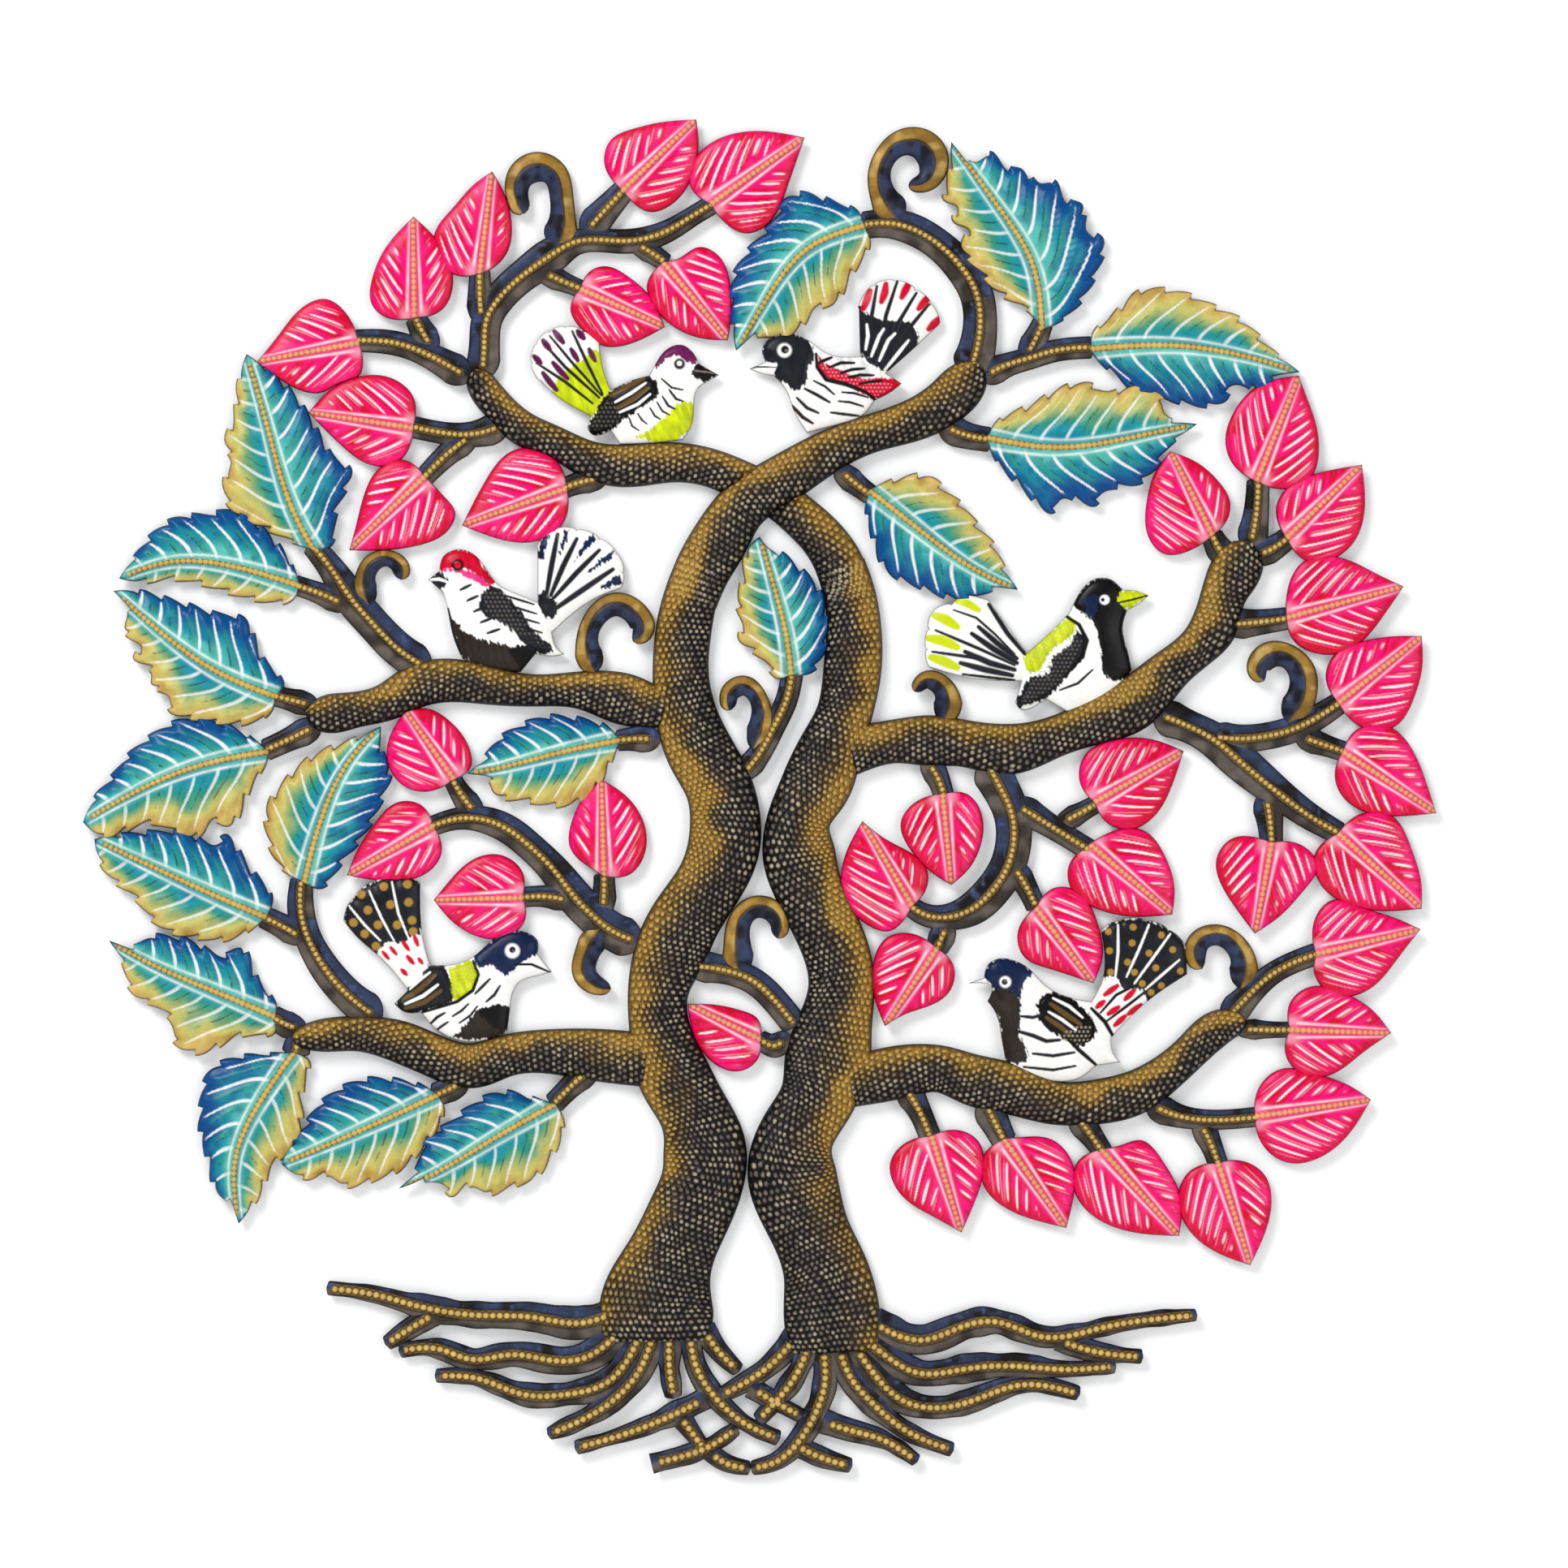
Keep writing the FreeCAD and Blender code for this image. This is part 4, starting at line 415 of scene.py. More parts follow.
# Birds: strokes round the outline from the beak tip. A stroke of two points is straight, a longer one is
# a smooth curve, and a stroke in SCALLOPED style has a round feather tip between each pair of points.
BIRDS = {
    "bird_top_left": [
        [(-18, 181.7), (-27, 186.8)],
        [(-27, 186.8), (-29, 191), (-35, 195.2), (-42, 192.5), (-46, 187), (-49, 181.5)],
        [(-49, 181.5), (-58, 179), (-66, 175)],
        [(-66, 175), (-69, 183), (-71, 195)],
        ["scalloped", (-71, 195), (-78, 201), (-86, 203), (-93, 201), (-99, 195.5), (-101, 187), (-97, 179)],
        [(-97, 179), (-92, 174), (-75, 163.5)],
        [(-75, 163.5), (-76.5, 158)],
        [(-76.5, 158), (-74.5, 155.5), (-66, 157)],
        [(-66, 157), (-62, 151)],
        [(-62, 151), (-48, 151.5), (-34, 153)],
        [(-34, 153), (-30, 160), (-29, 170), (-27, 176), (-24.5, 178)],
        [(-24.5, 178), (-18, 181.7)],
    ],
    "bird_top_right": [
        [(-4.5, 184.5), (2.5, 187.5)],
        [(2.5, 187.5), (1, 193), (5, 198.5), (14, 200), (22, 197), (30, 191.5), (44.5, 190)],
        [(44.5, 190), (44, 211)],
        ["scalloped", (44, 211), (51, 221.5), (60, 223.5), (69, 219.5), (76, 213), (79.5, 204)],
        [(79.5, 204), (70, 195), (56, 182.5)],
        [(56, 182.5), (63, 178)],
        [(63, 178), (58, 174), (51, 170.5)],
        [(51, 170.5), (46, 164), (36, 160), (21, 156)],
        [(21, 156), (15, 166), (11, 176), (6, 181.5)],
        [(6, 181.5), (0, 182.5), (-4.5, 184.5)],
    ],
    "bird_mid_left": [
        [(-147, 91), (-142, 95)],
        [(-142, 95), (-140.5, 101), (-134, 104.5), (-127, 102.5), (-121, 95.5), (-116.5, 89.5), (-108, 85),
         (-98.5, 81)],
        [(-98.5, 81), (-98.5, 105)],
        ["scalloped", (-98.5, 105), (-91, 113), (-81, 113), (-71, 109), (-63.5, 102.5), (-60.5, 94),
         (-62, 87)],
        [(-62, 87), (-72, 83), (-92, 67.5)],
        [(-92, 67.5), (-90, 61), (-86.5, 58)],
        [(-86.5, 58), (-91, 57), (-99.5, 58)],
        [(-99.5, 58), (-106, 50)],
        [(-106, 50), (-118, 51), (-132, 56)],
        [(-132, 56), (-136, 66), (-138.5, 78), (-140.5, 85.5)],
        [(-140.5, 85.5), (-147, 91)],
    ],
    "bird_mid_right": [
        [(172.5, 84), (166, 86.3), (161, 86.5)],
        [(161, 86.5), (156, 91), (149, 91.5), (143, 87), (139, 80), (137, 76)],
        [(137, 76), (128, 67), (118.5, 58.5)],
        [(118.5, 58.5), (101.5, 82)],
        [(101.5, 82), (88, 83), (85, 80)],
        ["scalloped", (85, 80), (77, 77), (75, 69), (74, 60), (75.5, 52)],
        [(75.5, 52), (92, 47.5), (116, 46)],
        [(116, 46), (113.3, 36.5)],
        [(113.3, 36.5), (115, 34), (127, 38)],
        [(127, 38), (137, 32)],
        [(137, 32), (148, 35), (158, 42), (165, 51)],
        [(165, 51), (163, 60), (161, 70), (163, 77.5)],
        [(163, 77.5), (168, 80), (172.5, 84)],
    ],
    "bird_low_left": [
        [(-92, -83), (-98.5, -75)],
        [(-98.5, -75), (-98.5, -69), (-104.5, -65), (-113, -65.5), (-120, -70), (-127, -76), (-136, -79.5),
         (-146, -80)],
        [(-146, -80), (-149.5, -66), (-150.5, -44)],
        ["scalloped", (-150.5, -44), (-161, -42), (-171.5, -43.5), (-179.5, -50), (-184, -61)],
        [(-184, -61), (-178, -68), (-170, -75), (-156, -91)],
        [(-156, -91), (-162, -97)],
        [(-162, -97), (-158, -100.5), (-150, -101)],
        [(-150, -101), (-144, -108), (-138, -112)],
        [(-138, -112), (-130, -114), (-112, -110)],
        [(-112, -110), (-110.5, -98), (-107, -88), (-100, -85)],
        [(-100, -85), (-92, -83)],
    ],
    "bird_low_right": [
        [(92.5, -88), (99.5, -85.5)],
        [(99.5, -85.5), (101, -80), (106, -77), (112, -77.5), (119, -81), (126, -88), (134, -93), (147, -96)],
        [(147, -96), (152, -86), (151.5, -65)],
        ["scalloped", (151.5, -65), (160, -60.5), (171.5, -60.5), (181, -64.5), (189, -73)],
        [(189, -73), (189.5, -84)],
        [(189.5, -84), (172, -96), (156, -112)],
        [(156, -112), (156.5, -118), (160, -123)],
        [(160, -123), (149, -124.5)],
        [(149, -124.5), (142, -130), (130, -131.5), (119, -129), (109, -122)],
        [(109, -122), (107, -111), (104, -100), (101, -96)],
        [(101, -96), (103, -90), (92.5, -88)],
    ],
}


# --- Colours, in linear light ----------------------------------------------------------------------

def srgb(r, g, b):
    """A linear colour from 0 to 255 display values."""
    return np.array([c / 255 / 12.92 if c <= 10 else ((c / 255 + 0.055) / 1.055) ** 2.4 for c in (r, g, b)])


BLACK, INK, WHITE, CREAM = srgb(12, 11, 12), srgb(28, 30, 36), srgb(250, 250, 248), srgb(214, 200, 170)
GOLD, OCHRE, BRASS = srgb(172, 132, 52), srgb(100, 74, 30), srgb(222, 190, 110)
SLATE, TAUPE, UMBER = srgb(50, 64, 96), srgb(124, 114, 104), srgb(44, 37, 31)
HOT_PINK, CRIMSON, ROSE, BLUSH = srgb(248, 8, 116), srgb(212, 0, 44), srgb(250, 64, 142), srgb(255, 184, 206)
SALMON, RUST, PEACH, WINE = srgb(240, 140, 104), srgb(176, 70, 44), srgb(255, 190, 150), srgb(110, 8, 36)
AQUA, TURQUOISE, SEA, DEEP = srgb(92, 190, 178), srgb(20, 144, 160), srgb(46, 148, 120), srgb(0, 74, 138)
LIME, PLUM, NAVY, LEMON = srgb(206, 222, 10), srgb(110, 24, 82), srgb(18, 34, 72), srgb(214, 204, 110)
BACK = srgb(116, 110, 104)


def mix(a, b, amount):
    """Blend colours or colour arrays by an amount per point."""
    amount = np.clip(np.asarray(amount, float), 0, 1)[..., None]
    return a * (1 - amount) + b * amount


def step(low, high, value):
    """A smooth ramp from 0 at low to 1 at high."""
    t = np.clip((value - low) / (high - low), 0, 1)
    return t * t * (3 - 2 * t)


def noise(x, z, size, seed=0):
    """Smooth value noise from 0 to 1, with features about size across."""
    x, z = np.asarray(x) / size + 311.7, np.asarray(z) / size + 173.3
    ix, iz = np.floor(x), np.floor(z)
    fx, fz = x - ix, z - iz
    fx, fz = fx * fx * (3 - 2 * fx), fz * fz * (3 - 2 * fz)

    def corner(dx, dz):
        value = np.sin((ix + dx) * 127.1 + (iz + dz) * 311.7 + seed * 74.7) * 43758.5453
        return value - np.floor(value)

    low = corner(0, 0) * (1 - fx) + corner(1, 0) * fx
    high = corner(0, 1) * (1 - fx) + corner(1, 1) * fx
    return low * (1 - fz) + high * fz


# --- Curves ----------------------------------------------------------------------------------------

class Curve:
    """A natural cubic spline through points of any dimension, by chord length."""

    def __init__(self, points):
        self.p = np.asarray(points, float)
        self.t = np.concatenate([[0], np.cumsum(np.hypot(*np.diff(self.p[:, :2], axis=0).T))])
        n, t, p = len(self.p), self.t, self.p
        matrix, right = np.eye(n), np.zeros_like(p)
        for i in range(1, n - 1):
            before, after = t[i] - t[i - 1], t[i + 1] - t[i]
            matrix[i, i - 1:i + 2] = before, 2 * (before + after), after
            right[i] = 6 * ((p[i + 1] - p[i]) / after - (p[i] - p[i - 1]) / before)
        self.m = np.linalg.solve(matrix, right)

    def at(self, s):
        """Points at chord lengths s."""
        t, p, m = self.t, self.p, self.m
        i = np.clip(np.searchsorted(t, s, side="right") - 1, 0, len(t) - 2)
        h = (t[i + 1] - t[i])[:, None]
        a = ((t[i + 1] - s)[:, None]) / h
        b = 1 - a
        bend = ((a ** 3 - a) * m[i] + (b ** 3 - b) * m[i + 1]) * h * h / 6
        return a * p[i] + b * p[i + 1] + bend

    def even(self, spacing):
        """Points an even distance apart, from one end to the other."""
        rough = self.at(np.linspace(0, self.t[-1], max(8, int(self.t[-1] / spacing * 3))))
        length = np.concatenate([[0], np.cumsum(np.hypot(*np.diff(rough[:, :2], axis=0).T))])
        count = max(3, int(round(length[-1] / spacing)) + 1)
        wanted = np.linspace(0, length[-1], count)
        return np.stack([np.interp(wanted, length, column) for column in rough.T], axis=1)


def scalloped_run(points, middle, spacing):
    """Points along the lobes of a fanned tail, which bulge away from the middle."""
    run = []
    for (x0, z0), (x1, z1) in zip(points, points[1:]):
        chord = math.hypot(x1 - x0, z1 - z0)
        nx, nz = (z0 - z1) / chord, (x1 - x0) / chord
        if nx * ((x0 + x1) / 2 - middle[0]) + nz * ((z0 + z1) / 2 - middle[1]) < 0:
            nx, nz = -nx, -nz
        share = np.linspace(0, 1, max(2, int(round(chord / spacing)) + 1))
        rise = LOBE_BULGE * chord * np.sqrt(4 * share * (1 - share))
        run.append(np.stack([x0 + (x1 - x0) * share + nx * rise, z0 + (z1 - z0) * share + nz * rise], axis=1))
    return np.concatenate([r[:-1] for r in run] + [run[-1][-1:]])


def sawn_run(points, middle, spacing):
    """A leaf's edge from base to tip, with saw teeth that point at the tip and die away at both ends."""
    curve = Curve(points)
    rough = curve.at(np.linspace(0, curve.t[-1], 400))
    soft = (rough[:-2] + rough[1:-1] + rough[2:]) / 3
    rough = np.concatenate([rough[:1], soft, rough[-1:]])
    length = np.concatenate([[0], np.cumsum(np.hypot(*np.diff(rough, axis=0).T))])
    count = max(5, int(round(length[-1] / TOOTH_PITCH)))
    wanted = np.linspace(0, length[-1], int(length[-1] / spacing) + 1)
    run = np.stack([np.interp(wanted, length, column) for column in rough.T], axis=1)
    ways = np.gradient(run, axis=0)
    ways /= np.linalg.norm(ways, axis=1)[:, None]
    square = np.stack([-ways[:, 1], ways[:, 0]], axis=1)
    outward = np.sign(np.sum(square * (run - middle), axis=1))
    outward = 1 if outward.sum() > 0 else -1
    share = wanted / length[-1]
    phase = share * count - np.floor(share * count)
    depth = TOOTH_DEPTH * np.clip(np.minimum(share / 0.16, (1 - share) / 0.14), 0, 1)
    saw = depth * (0.45 - (1 - phase) ** 1.6)
    saw[0] = saw[-1] = 0
    return run + square * (outward * saw)[:, None]


def closed(runs):
    """One counter-clockwise outline from runs that follow each other."""
    outline = np.concatenate([run[:-1] for run in runs])
    x, z = outline.T
    area = np.sum(x * np.roll(z, -1) - np.roll(x, -1) * z)
    return outline if area > 0 else outline[::-1]


def to_line(x, z, line):
    """Signed distance from points to a polyline, positive on its left, and the length along it."""
    line = np.asarray(line, float)
    best, side, along = np.full(x.shape, 1e9), np.zeros(x.shape), np.zeros(x.shape)
    start = 0.0
    last = len(line) - 2
    for i, ((x0, z0), (x1, z1)) in enumerate(zip(line, line[1:])):
        length = math.hypot(x1 - x0, z1 - z0)
        tx, tz = (x1 - x0) / length, (z1 - z0) / length
        run = (x - x0) * tx + (z - z0) * tz
        held = np.clip(run, 0, length)
        off_x, off_z = x - x0 - held * tx, z - z0 - held * tz
        away = np.hypot(off_x, off_z)
        near = away < best
        best = np.where(near, away, best)
        side = np.where(near, tx * (z - z0) - tz * (x - x0), side)
        free = np.where((i == 0) & (run < 0) | (i == last) & (run > length), run, held)
        along = np.where(near, start + free, along)
        start += length
    return np.where(side < 0, -best, best), along


def inside(x, z, outline):
    """True for points inside a closed outline."""
    odd = np.zeros(x.shape, bool)
    for (x0, z0), (x1, z1) in zip(outline, np.roll(outline, -1, axis=0)):
        if z0 == z1:
            continue
        crosses = ((z0 > z) != (z1 > z)) & (x < (x1 - x0) * (z - z0) / (z1 - z0) + x0)
        odd ^= crosses
    return odd


def edge_distance(x, z, outline):
    """Distance from points to a closed outline."""
    return np.abs(to_line(x, z, np.concatenate([outline, outline[:1]]))[0])


def rim_distance(points, outline):
    """Distance from points to the nearest point of a finely stepped outline."""
    tree = KDTree(len(outline))
    for index, (x, z) in enumerate(outline):
        tree.insert((x, z, 0), index)
    tree.balance()
    return np.array([tree.find((x, z, 0))[2] for x, z in points])


# --- Meshes ----------------------------------------------------------------------------------------

def fill(outline, spacing):
    """Points and triangles that fill an outline, with the outline's own points first."""
    low, high = outline.min(axis=0), outline.max(axis=0)
    rows = np.arange(low[1], high[1], spacing * 0.866)
    columns = np.arange(low[0], high[0], spacing)
    ahead = np.roll(outline, -1, axis=0)
    grid = []
    for index, z in enumerate(rows):
        crossed = (outline[:, 1] > z) != (ahead[:, 1] > z)
        (x0, z0), (x1, z1) = outline[crossed].T, ahead[crossed].T
        turns = np.sort(x0 + (x1 - x0) * (z - z0) / (z1 - z0))
        row = columns + spacing / 2 * (index % 2)
        row = row[np.searchsorted(turns, row) % 2 == 1]
        grid.append(np.stack([row, np.full(len(row), z)], axis=1))
    grid = np.concatenate(grid)
    far = rim_distance(grid, outline) > spacing * 0.55
    points = np.concatenate([outline, grid[far]])
    ring = [list(range(len(outline)))]
    _, _, faces, origin, _, _ = delaunay_2d_cdt([Vector(p) for p in points], [], ring, 1, 1e-6)
    place = np.array([group[0] for group in origin])
    faces = place[np.array([face for face in faces if len(face) == 3])]
    a, b, c = points[faces[:, 0]], points[faces[:, 1]], points[faces[:, 2]]
    turn = (b[:, 0] - a[:, 0]) * (c[:, 1] - a[:, 1]) - (b[:, 1] - a[:, 1]) * (c[:, 0] - a[:, 0])
    faces[turn < 0] = faces[turn < 0][:, ::-1]
    return points, faces[np.abs(turn) > 1e-9]


def make_mesh(name, corners, colours, triangles, quads, material, node):
    """A mesh object from points in layout millimetres, which rides on the frame."""
    corners = (np.asarray(corners, float) - [HANG_X, 0, HANG_Z]) * MM
    sizes = np.concatenate([np.full(len(triangles), 3), np.full(len(quads), 4)])
    loops = np.concatenate([np.asarray(triangles).ravel(), np.asarray(quads).ravel()]).astype(np.int32)
    mesh = bpy.data.meshes.new(name)
    mesh.vertices.add(len(corners))
    mesh.vertices.foreach_set("co", corners.ravel())
    mesh.loops.add(len(loops))
    mesh.loops.foreach_set("vertex_index", loops)
    mesh.polygons.add(len(sizes))
    mesh.polygons.foreach_set("loop_start", np.concatenate([[0], np.cumsum(sizes)[:-1]]).astype(np.int32))
    mesh.polygons.foreach_set("loop_total", sizes.astype(np.int32))
    mesh.polygons.foreach_set("use_smooth", np.ones(len(sizes), bool))
    paint = mesh.attributes.new("Paint", "FLOAT_COLOR", "POINT")
    paint.data.foreach_set("color", np.concatenate([colours, np.ones((len(colours), 1))], axis=1).ravel())
    mesh.update()
    mesh.validate()
    mesh.materials.append(material)
    piece = bpy.data.objects.new(name, mesh)
    bpy.context.scene.collection.objects.link(piece)
    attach(piece, "root")
    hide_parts(node)
    return piece


def plate(name, outline, relief, material, node, spacing=FINE):
    """A leaf or bird: relief(x, z, edge) gives each point's height and colour."""
    front, front_faces = fill(outline, spacing)
    back, back_faces = fill(outline, COARSE)
    height, colours = relief(*front.T, rim_distance(front, outline))
    back_height, _ = relief(*back.T, rim_distance(back, outline))
    rim = len(outline)
    height[:rim] = back_height[:rim]
    corners = np.concatenate([
        np.stack([front[:, 0], -SHEET - height, front[:, 1]], axis=1),
        np.stack([back[:, 0], -back_height, back[:, 1]], axis=1),
    ])
    base = len(front)
    ahead = (np.arange(rim) + 1) % rim
    here = np.arange(rim)
    walls = np.stack([here, here + base, ahead + base, ahead], axis=1)
    colours = np.concatenate([colours, np.tile(BACK, (len(back), 1))])
    triangles = np.concatenate([front_faces, back_faces[:, ::-1] + base])
    return make_mesh(name, corners, colours, triangles, walls, material, node)


def strip(line, relief, blunt=0.0, flare=0.0, ragged=0.0, spacing=FINE):
    """One hammered strip's points, colours and quads, from rows of x, z and half-width.

    relief(across, along, half, length, x, z, left) gives each point's height and colour.

    blunt rounds the far end and ragged roughens the cut edges. flare spreads the strip where it leaves its
    parent, and the part of it that lies on the parent is round-ended and low.
    """
    rows = Curve(line).even(spacing)
    steps = np.hypot(*np.diff(rows[:, :2], axis=0).T)
    along = np.concatenate([[0], np.cumsum(steps)])
    ways = np.gradient(rows[:, :2], axis=0)
    ways /= np.linalg.norm(ways, axis=1)[:, None]
    half = rows[:, 2]
    if flare:
        near = np.clip(along / half, 0.04, 1)
        half = half * np.sqrt(1 - (1 - near) ** 2)
        half = half + flare * step(2, 9, along) * np.exp(-np.maximum(along - 9, 0) / 6)
    half *= 1 + 2 * ragged * (noise(rows[:, 0], rows[:, 1], 8, 77) - 0.5)
    if blunt:
        left_to_go = along[-1] - along
        near = np.clip(left_to_go / (half * blunt), 0.02, 1)
        half *= np.sqrt(1 - (1 - near) ** 2)
    columns = max(6, int(round(2 * rows[:, 2].max() / spacing)))
    across = np.linspace(-1, 1, columns + 1)
    u, s = np.meshgrid(across, along)
    width = np.repeat(half[:, None], len(across), axis=1)
    x = rows[:, :1] - ways[:, 1:] * u * width
    z = rows[:, 1:2] + ways[:, :1] * u * width
    height, colours = relief(u, s, width, along[-1], x, z, np.stack([-ways[:, 1], ways[:, 0]], axis=1))
    height = np.maximum(height, 0)
    if flare:
        height = height * (0.5 + 0.5 * step(2, 8, s))
    count, wide = x.shape
    front = np.stack([x, -SHEET - height, z], axis=-1).reshape(-1, 3)
    hollow = np.stack([x, -0.98 * height, z], axis=-1).reshape(-1, 3)
    index = np.arange(count * wide).reshape(count, wide)
    a, b = index[:-1, :-1].ravel(), index[:-1, 1:].ravel()
    c, d = index[1:, 1:].ravel(), index[1:, :-1].ravel()
    base = count * wide
    faces = [np.stack([a, d, c, b], axis=1), np.stack([a, b, c, d], axis=1) + base]
    ring = np.concatenate([index[0, :], index[1:, -1], index[-1, -2::-1], index[-2:0:-1, 0]])
    ahead = np.roll(ring, -1)
    faces.append(np.stack([ring, ahead, ahead + base, ring + base], axis=1))
    colours = np.concatenate([colours.reshape(-1, 3), np.tile(BACK, (base, 1))])
    return np.concatenate([front, hollow]), colours, np.concatenate(faces)


def strip_piece(name, strips, material, node):
    """One object from one or more strips."""
    corners, colours, quads, base = [], [], [], 0
    for points, paint, faces in strips:
        corners.append(points)
        colours.append(paint)
        quads.append(faces + base)
        base += len(points)
    return make_mesh(name, np.concatenate(corners), np.concatenate(colours), np.zeros((0, 3), int),
                     np.concatenate(quads), material, node)


# --- Paint and relief --------------------------------------------------------------------------------

EDGE_LINE = 0.55             # width of the dark line that the shears leave along a cut edge
BEAD_PITCH = 2.5             # the round punch's pitch along a bead line
PUNCH_PITCH = 2.7            # the curved punch's pitch over the bark


def dome(edge, crown, reach):
    """A height that rises from a cut edge to a crown over reach."""
    share = np.clip(edge / reach, 0, 1)
    return crown * np.sqrt(share * (2 - share))


def rim_line(colours, edge):
    """The dark line along a cut edge."""
    return mix(colours, BLACK, 0.9 * (1 - step(EDGE_LINE * 0.5, EDGE_LINE * 1.3, edge)))


def bark(crown, lit, foot=0.01, over=None, fall=None, dark=0.0):
    """Rows of curved punch marks, gold on the lit side and black on the other. lit is 1 for the left side.

    The hammered height grows over the first foot millimetres, and it sinks below the limb whose line is over.
    It starts at fall times the crown, where a limb carries on from a taller trunk. dark keeps the gold to the
    very edge near the foot.
    """
    def relief(u, s, half, length, x, z, left):
        across = u * half
        arch = crown * (1 - np.abs(u) ** 2.4) ** 0.75
        wander = (noise(x, z, 16, 3) - 0.5) * 2.4
        row = (s + wander + 0.10 * across * np.sin(s / 23)) / PUNCH_PITCH
        column = (across + (noise(x, z, 9, 5) - 0.5) * 2.2) / PUNCH_PITCH + 0.5 * (np.floor(row) % 2)
        jump_r = noise(np.floor(column) * 7, np.floor(row) * 7, 3.3, 8) - 0.5
        jump_c = noise(np.floor(column) * 5, np.floor(row) * 9, 2.7, 18) - 0.5
        dr = row - np.floor(row) - 0.5 + 0.34 * jump_r
        dc = column - np.floor(column) - 0.5 + 0.30 * jump_c
        away = np.hypot(dr, dc)
        pearl = 1 - step(0.20, 0.37, away)
        bearing = np.cos(np.arctan2(dr, dc) - np.pi * (0.30 if lit > 0 else 0.70))
        crescent = np.exp(-((away - 0.44) / 0.11) ** 2) * step(-0.5, 0.4, -bearing)
        shy = dark * (1 - step(30, 150, s))
        light = step(-0.45 + 0.6 * shy, 0.95 + 0.9 * shy, lit * u + 0.7 * (noise(x, z, 11, 9) - 0.5))
        light = np.clip(light * (0.7 + 0.6 * noise(x, z, 24, 2)), 0, 1)
        soot = mix(np.broadcast_to(BLACK * 0.6, u.shape + (3,)), UMBER, 0.4 * noise(x, z, 5, 4))
        ground = mix(soot, OCHRE, light)
        ground = mix(ground, GOLD, step(0.45, 1.0, light) * 0.75)
        # Each pearl's top is painted lighter than the ground around it, as a painted highlight. On the black
        # side it is taupe to cream, standing in for the sheen of the black pearls; on the gold side it is
        # gold to brass.
        painted_pearl_highlight = mix(mix(UMBER, TAUPE, 0.75), CREAM, 0.75 * step(0.3, 0.9, noise(x, z, 2.9, 6)))
        top = mix(painted_pearl_highlight, mix(GOLD, BRASS, 0.6), step(0.1, 0.7, light))
        colours = mix(ground, top, pearl * (0.75 + 0.25 * noise(x, z, 2.2, 7)))
        colours = mix(colours, BLACK * 0.6, crescent * (0.95 - 0.2 * light))
        cut = half - np.abs(across)
        colours = mix(colours, mix(BLACK, OCHRE, 0.7 * light), 1 - step(0.4, 2.4, cut))
        fade = step(0.6, 2.6, cut)
        if over is not None:
            arch = arch * step(8.5, 13.5, np.abs(to_line(x, z, over)[0]))
        arch = arch * np.sqrt(np.clip(s / foot, 0, 1))
        crown_fall = 1 if fall is None else 1 + (fall - 1) * (1 - step(0, 60, s))
        return arch * crown_fall + fade * (0.6 * pearl - 0.45 * crescent), rim_line(colours, cut)
    return relief


def pearls(offset, s, size=1.15, pitch=BEAD_PITCH):
    """A row of round punch marks: their domes, and the dark crescent that each one has below it."""
    phase = s / pitch
    away = np.hypot((phase - np.floor(phase) - 0.5) * pitch, offset) / size
    bead = np.sqrt(np.clip(1 - away ** 2, 0, 1))
    return bead, np.exp(-((away - 1.12) / 0.24) ** 2)


def beaded(crown, ridge=1.75, start=2.0, stop=1.0, size=1.15, pitch=BEAD_PITCH):
    """A slate and taupe plate with a raised line of gold pearls down its middle."""
    def relief(u, s, half, length, x, z, left):
        across = u * half
        cut = half - np.abs(across)
        arch = crown * (1 - np.abs(u) ** 4) ** 0.8
        shows = step(start, start + 1.5, s) * step(stop, stop + 1.5, length - s)
        tube = np.sqrt(np.clip(1 - (across / ridge) ** 2, 0, 1)) * shows
        bead, ring = pearls(across, s, size, pitch)
        upward = np.where((left[:, 1] - 0.25 * left[:, 0])[:, None] > 0, 1.0, -1.0)
        mottled = noise(x, z, 4, 11)
        above = mix(mix(SLATE, BLACK, step(0.4, 0.85, noise(x, z, 6, 12))), UMBER, 0.4 * mottled)
        above = mix(above, SLATE * 2.2, 0.5 * step(0.72, 0.95, noise(x, z, 2.4, 15)))
        below = mix(mix(TAUPE, UMBER, 0.3 + 0.6 * step(0.3, 0.8, noise(x, z, 6, 13))), INK, 0.4 * mottled)
        colours = mix(below, above, step(-0.25, 0.25, across * upward / half))
        colours = mix(colours, BLACK, 0.7 * np.exp(-((np.abs(across) - ridge * 1.15) / 0.5) ** 2) * shows)
        gold = mix(GOLD, OCHRE, 0.55 * noise(x, z, 5, 14))
        colours = mix(colours, mix(gold, OCHRE, 0.5), step(0.1, 0.45, tube))
        colours = mix(colours, BLACK, 0.8 * ring * step(0.05, 0.3, tube))
        # Each pearl is painted gold, lightening to brass towards its crown in step with its height: a painted
        # highlight.
        colours = mix(colours, mix(gold, BRASS, 0.9 * bead), step(0.25, 0.6, bead) * shows)
        return arch + 1.1 * tube + 0.55 * bead * shows - 0.25 * ring * tube, rim_line(colours, cut)
    return relief


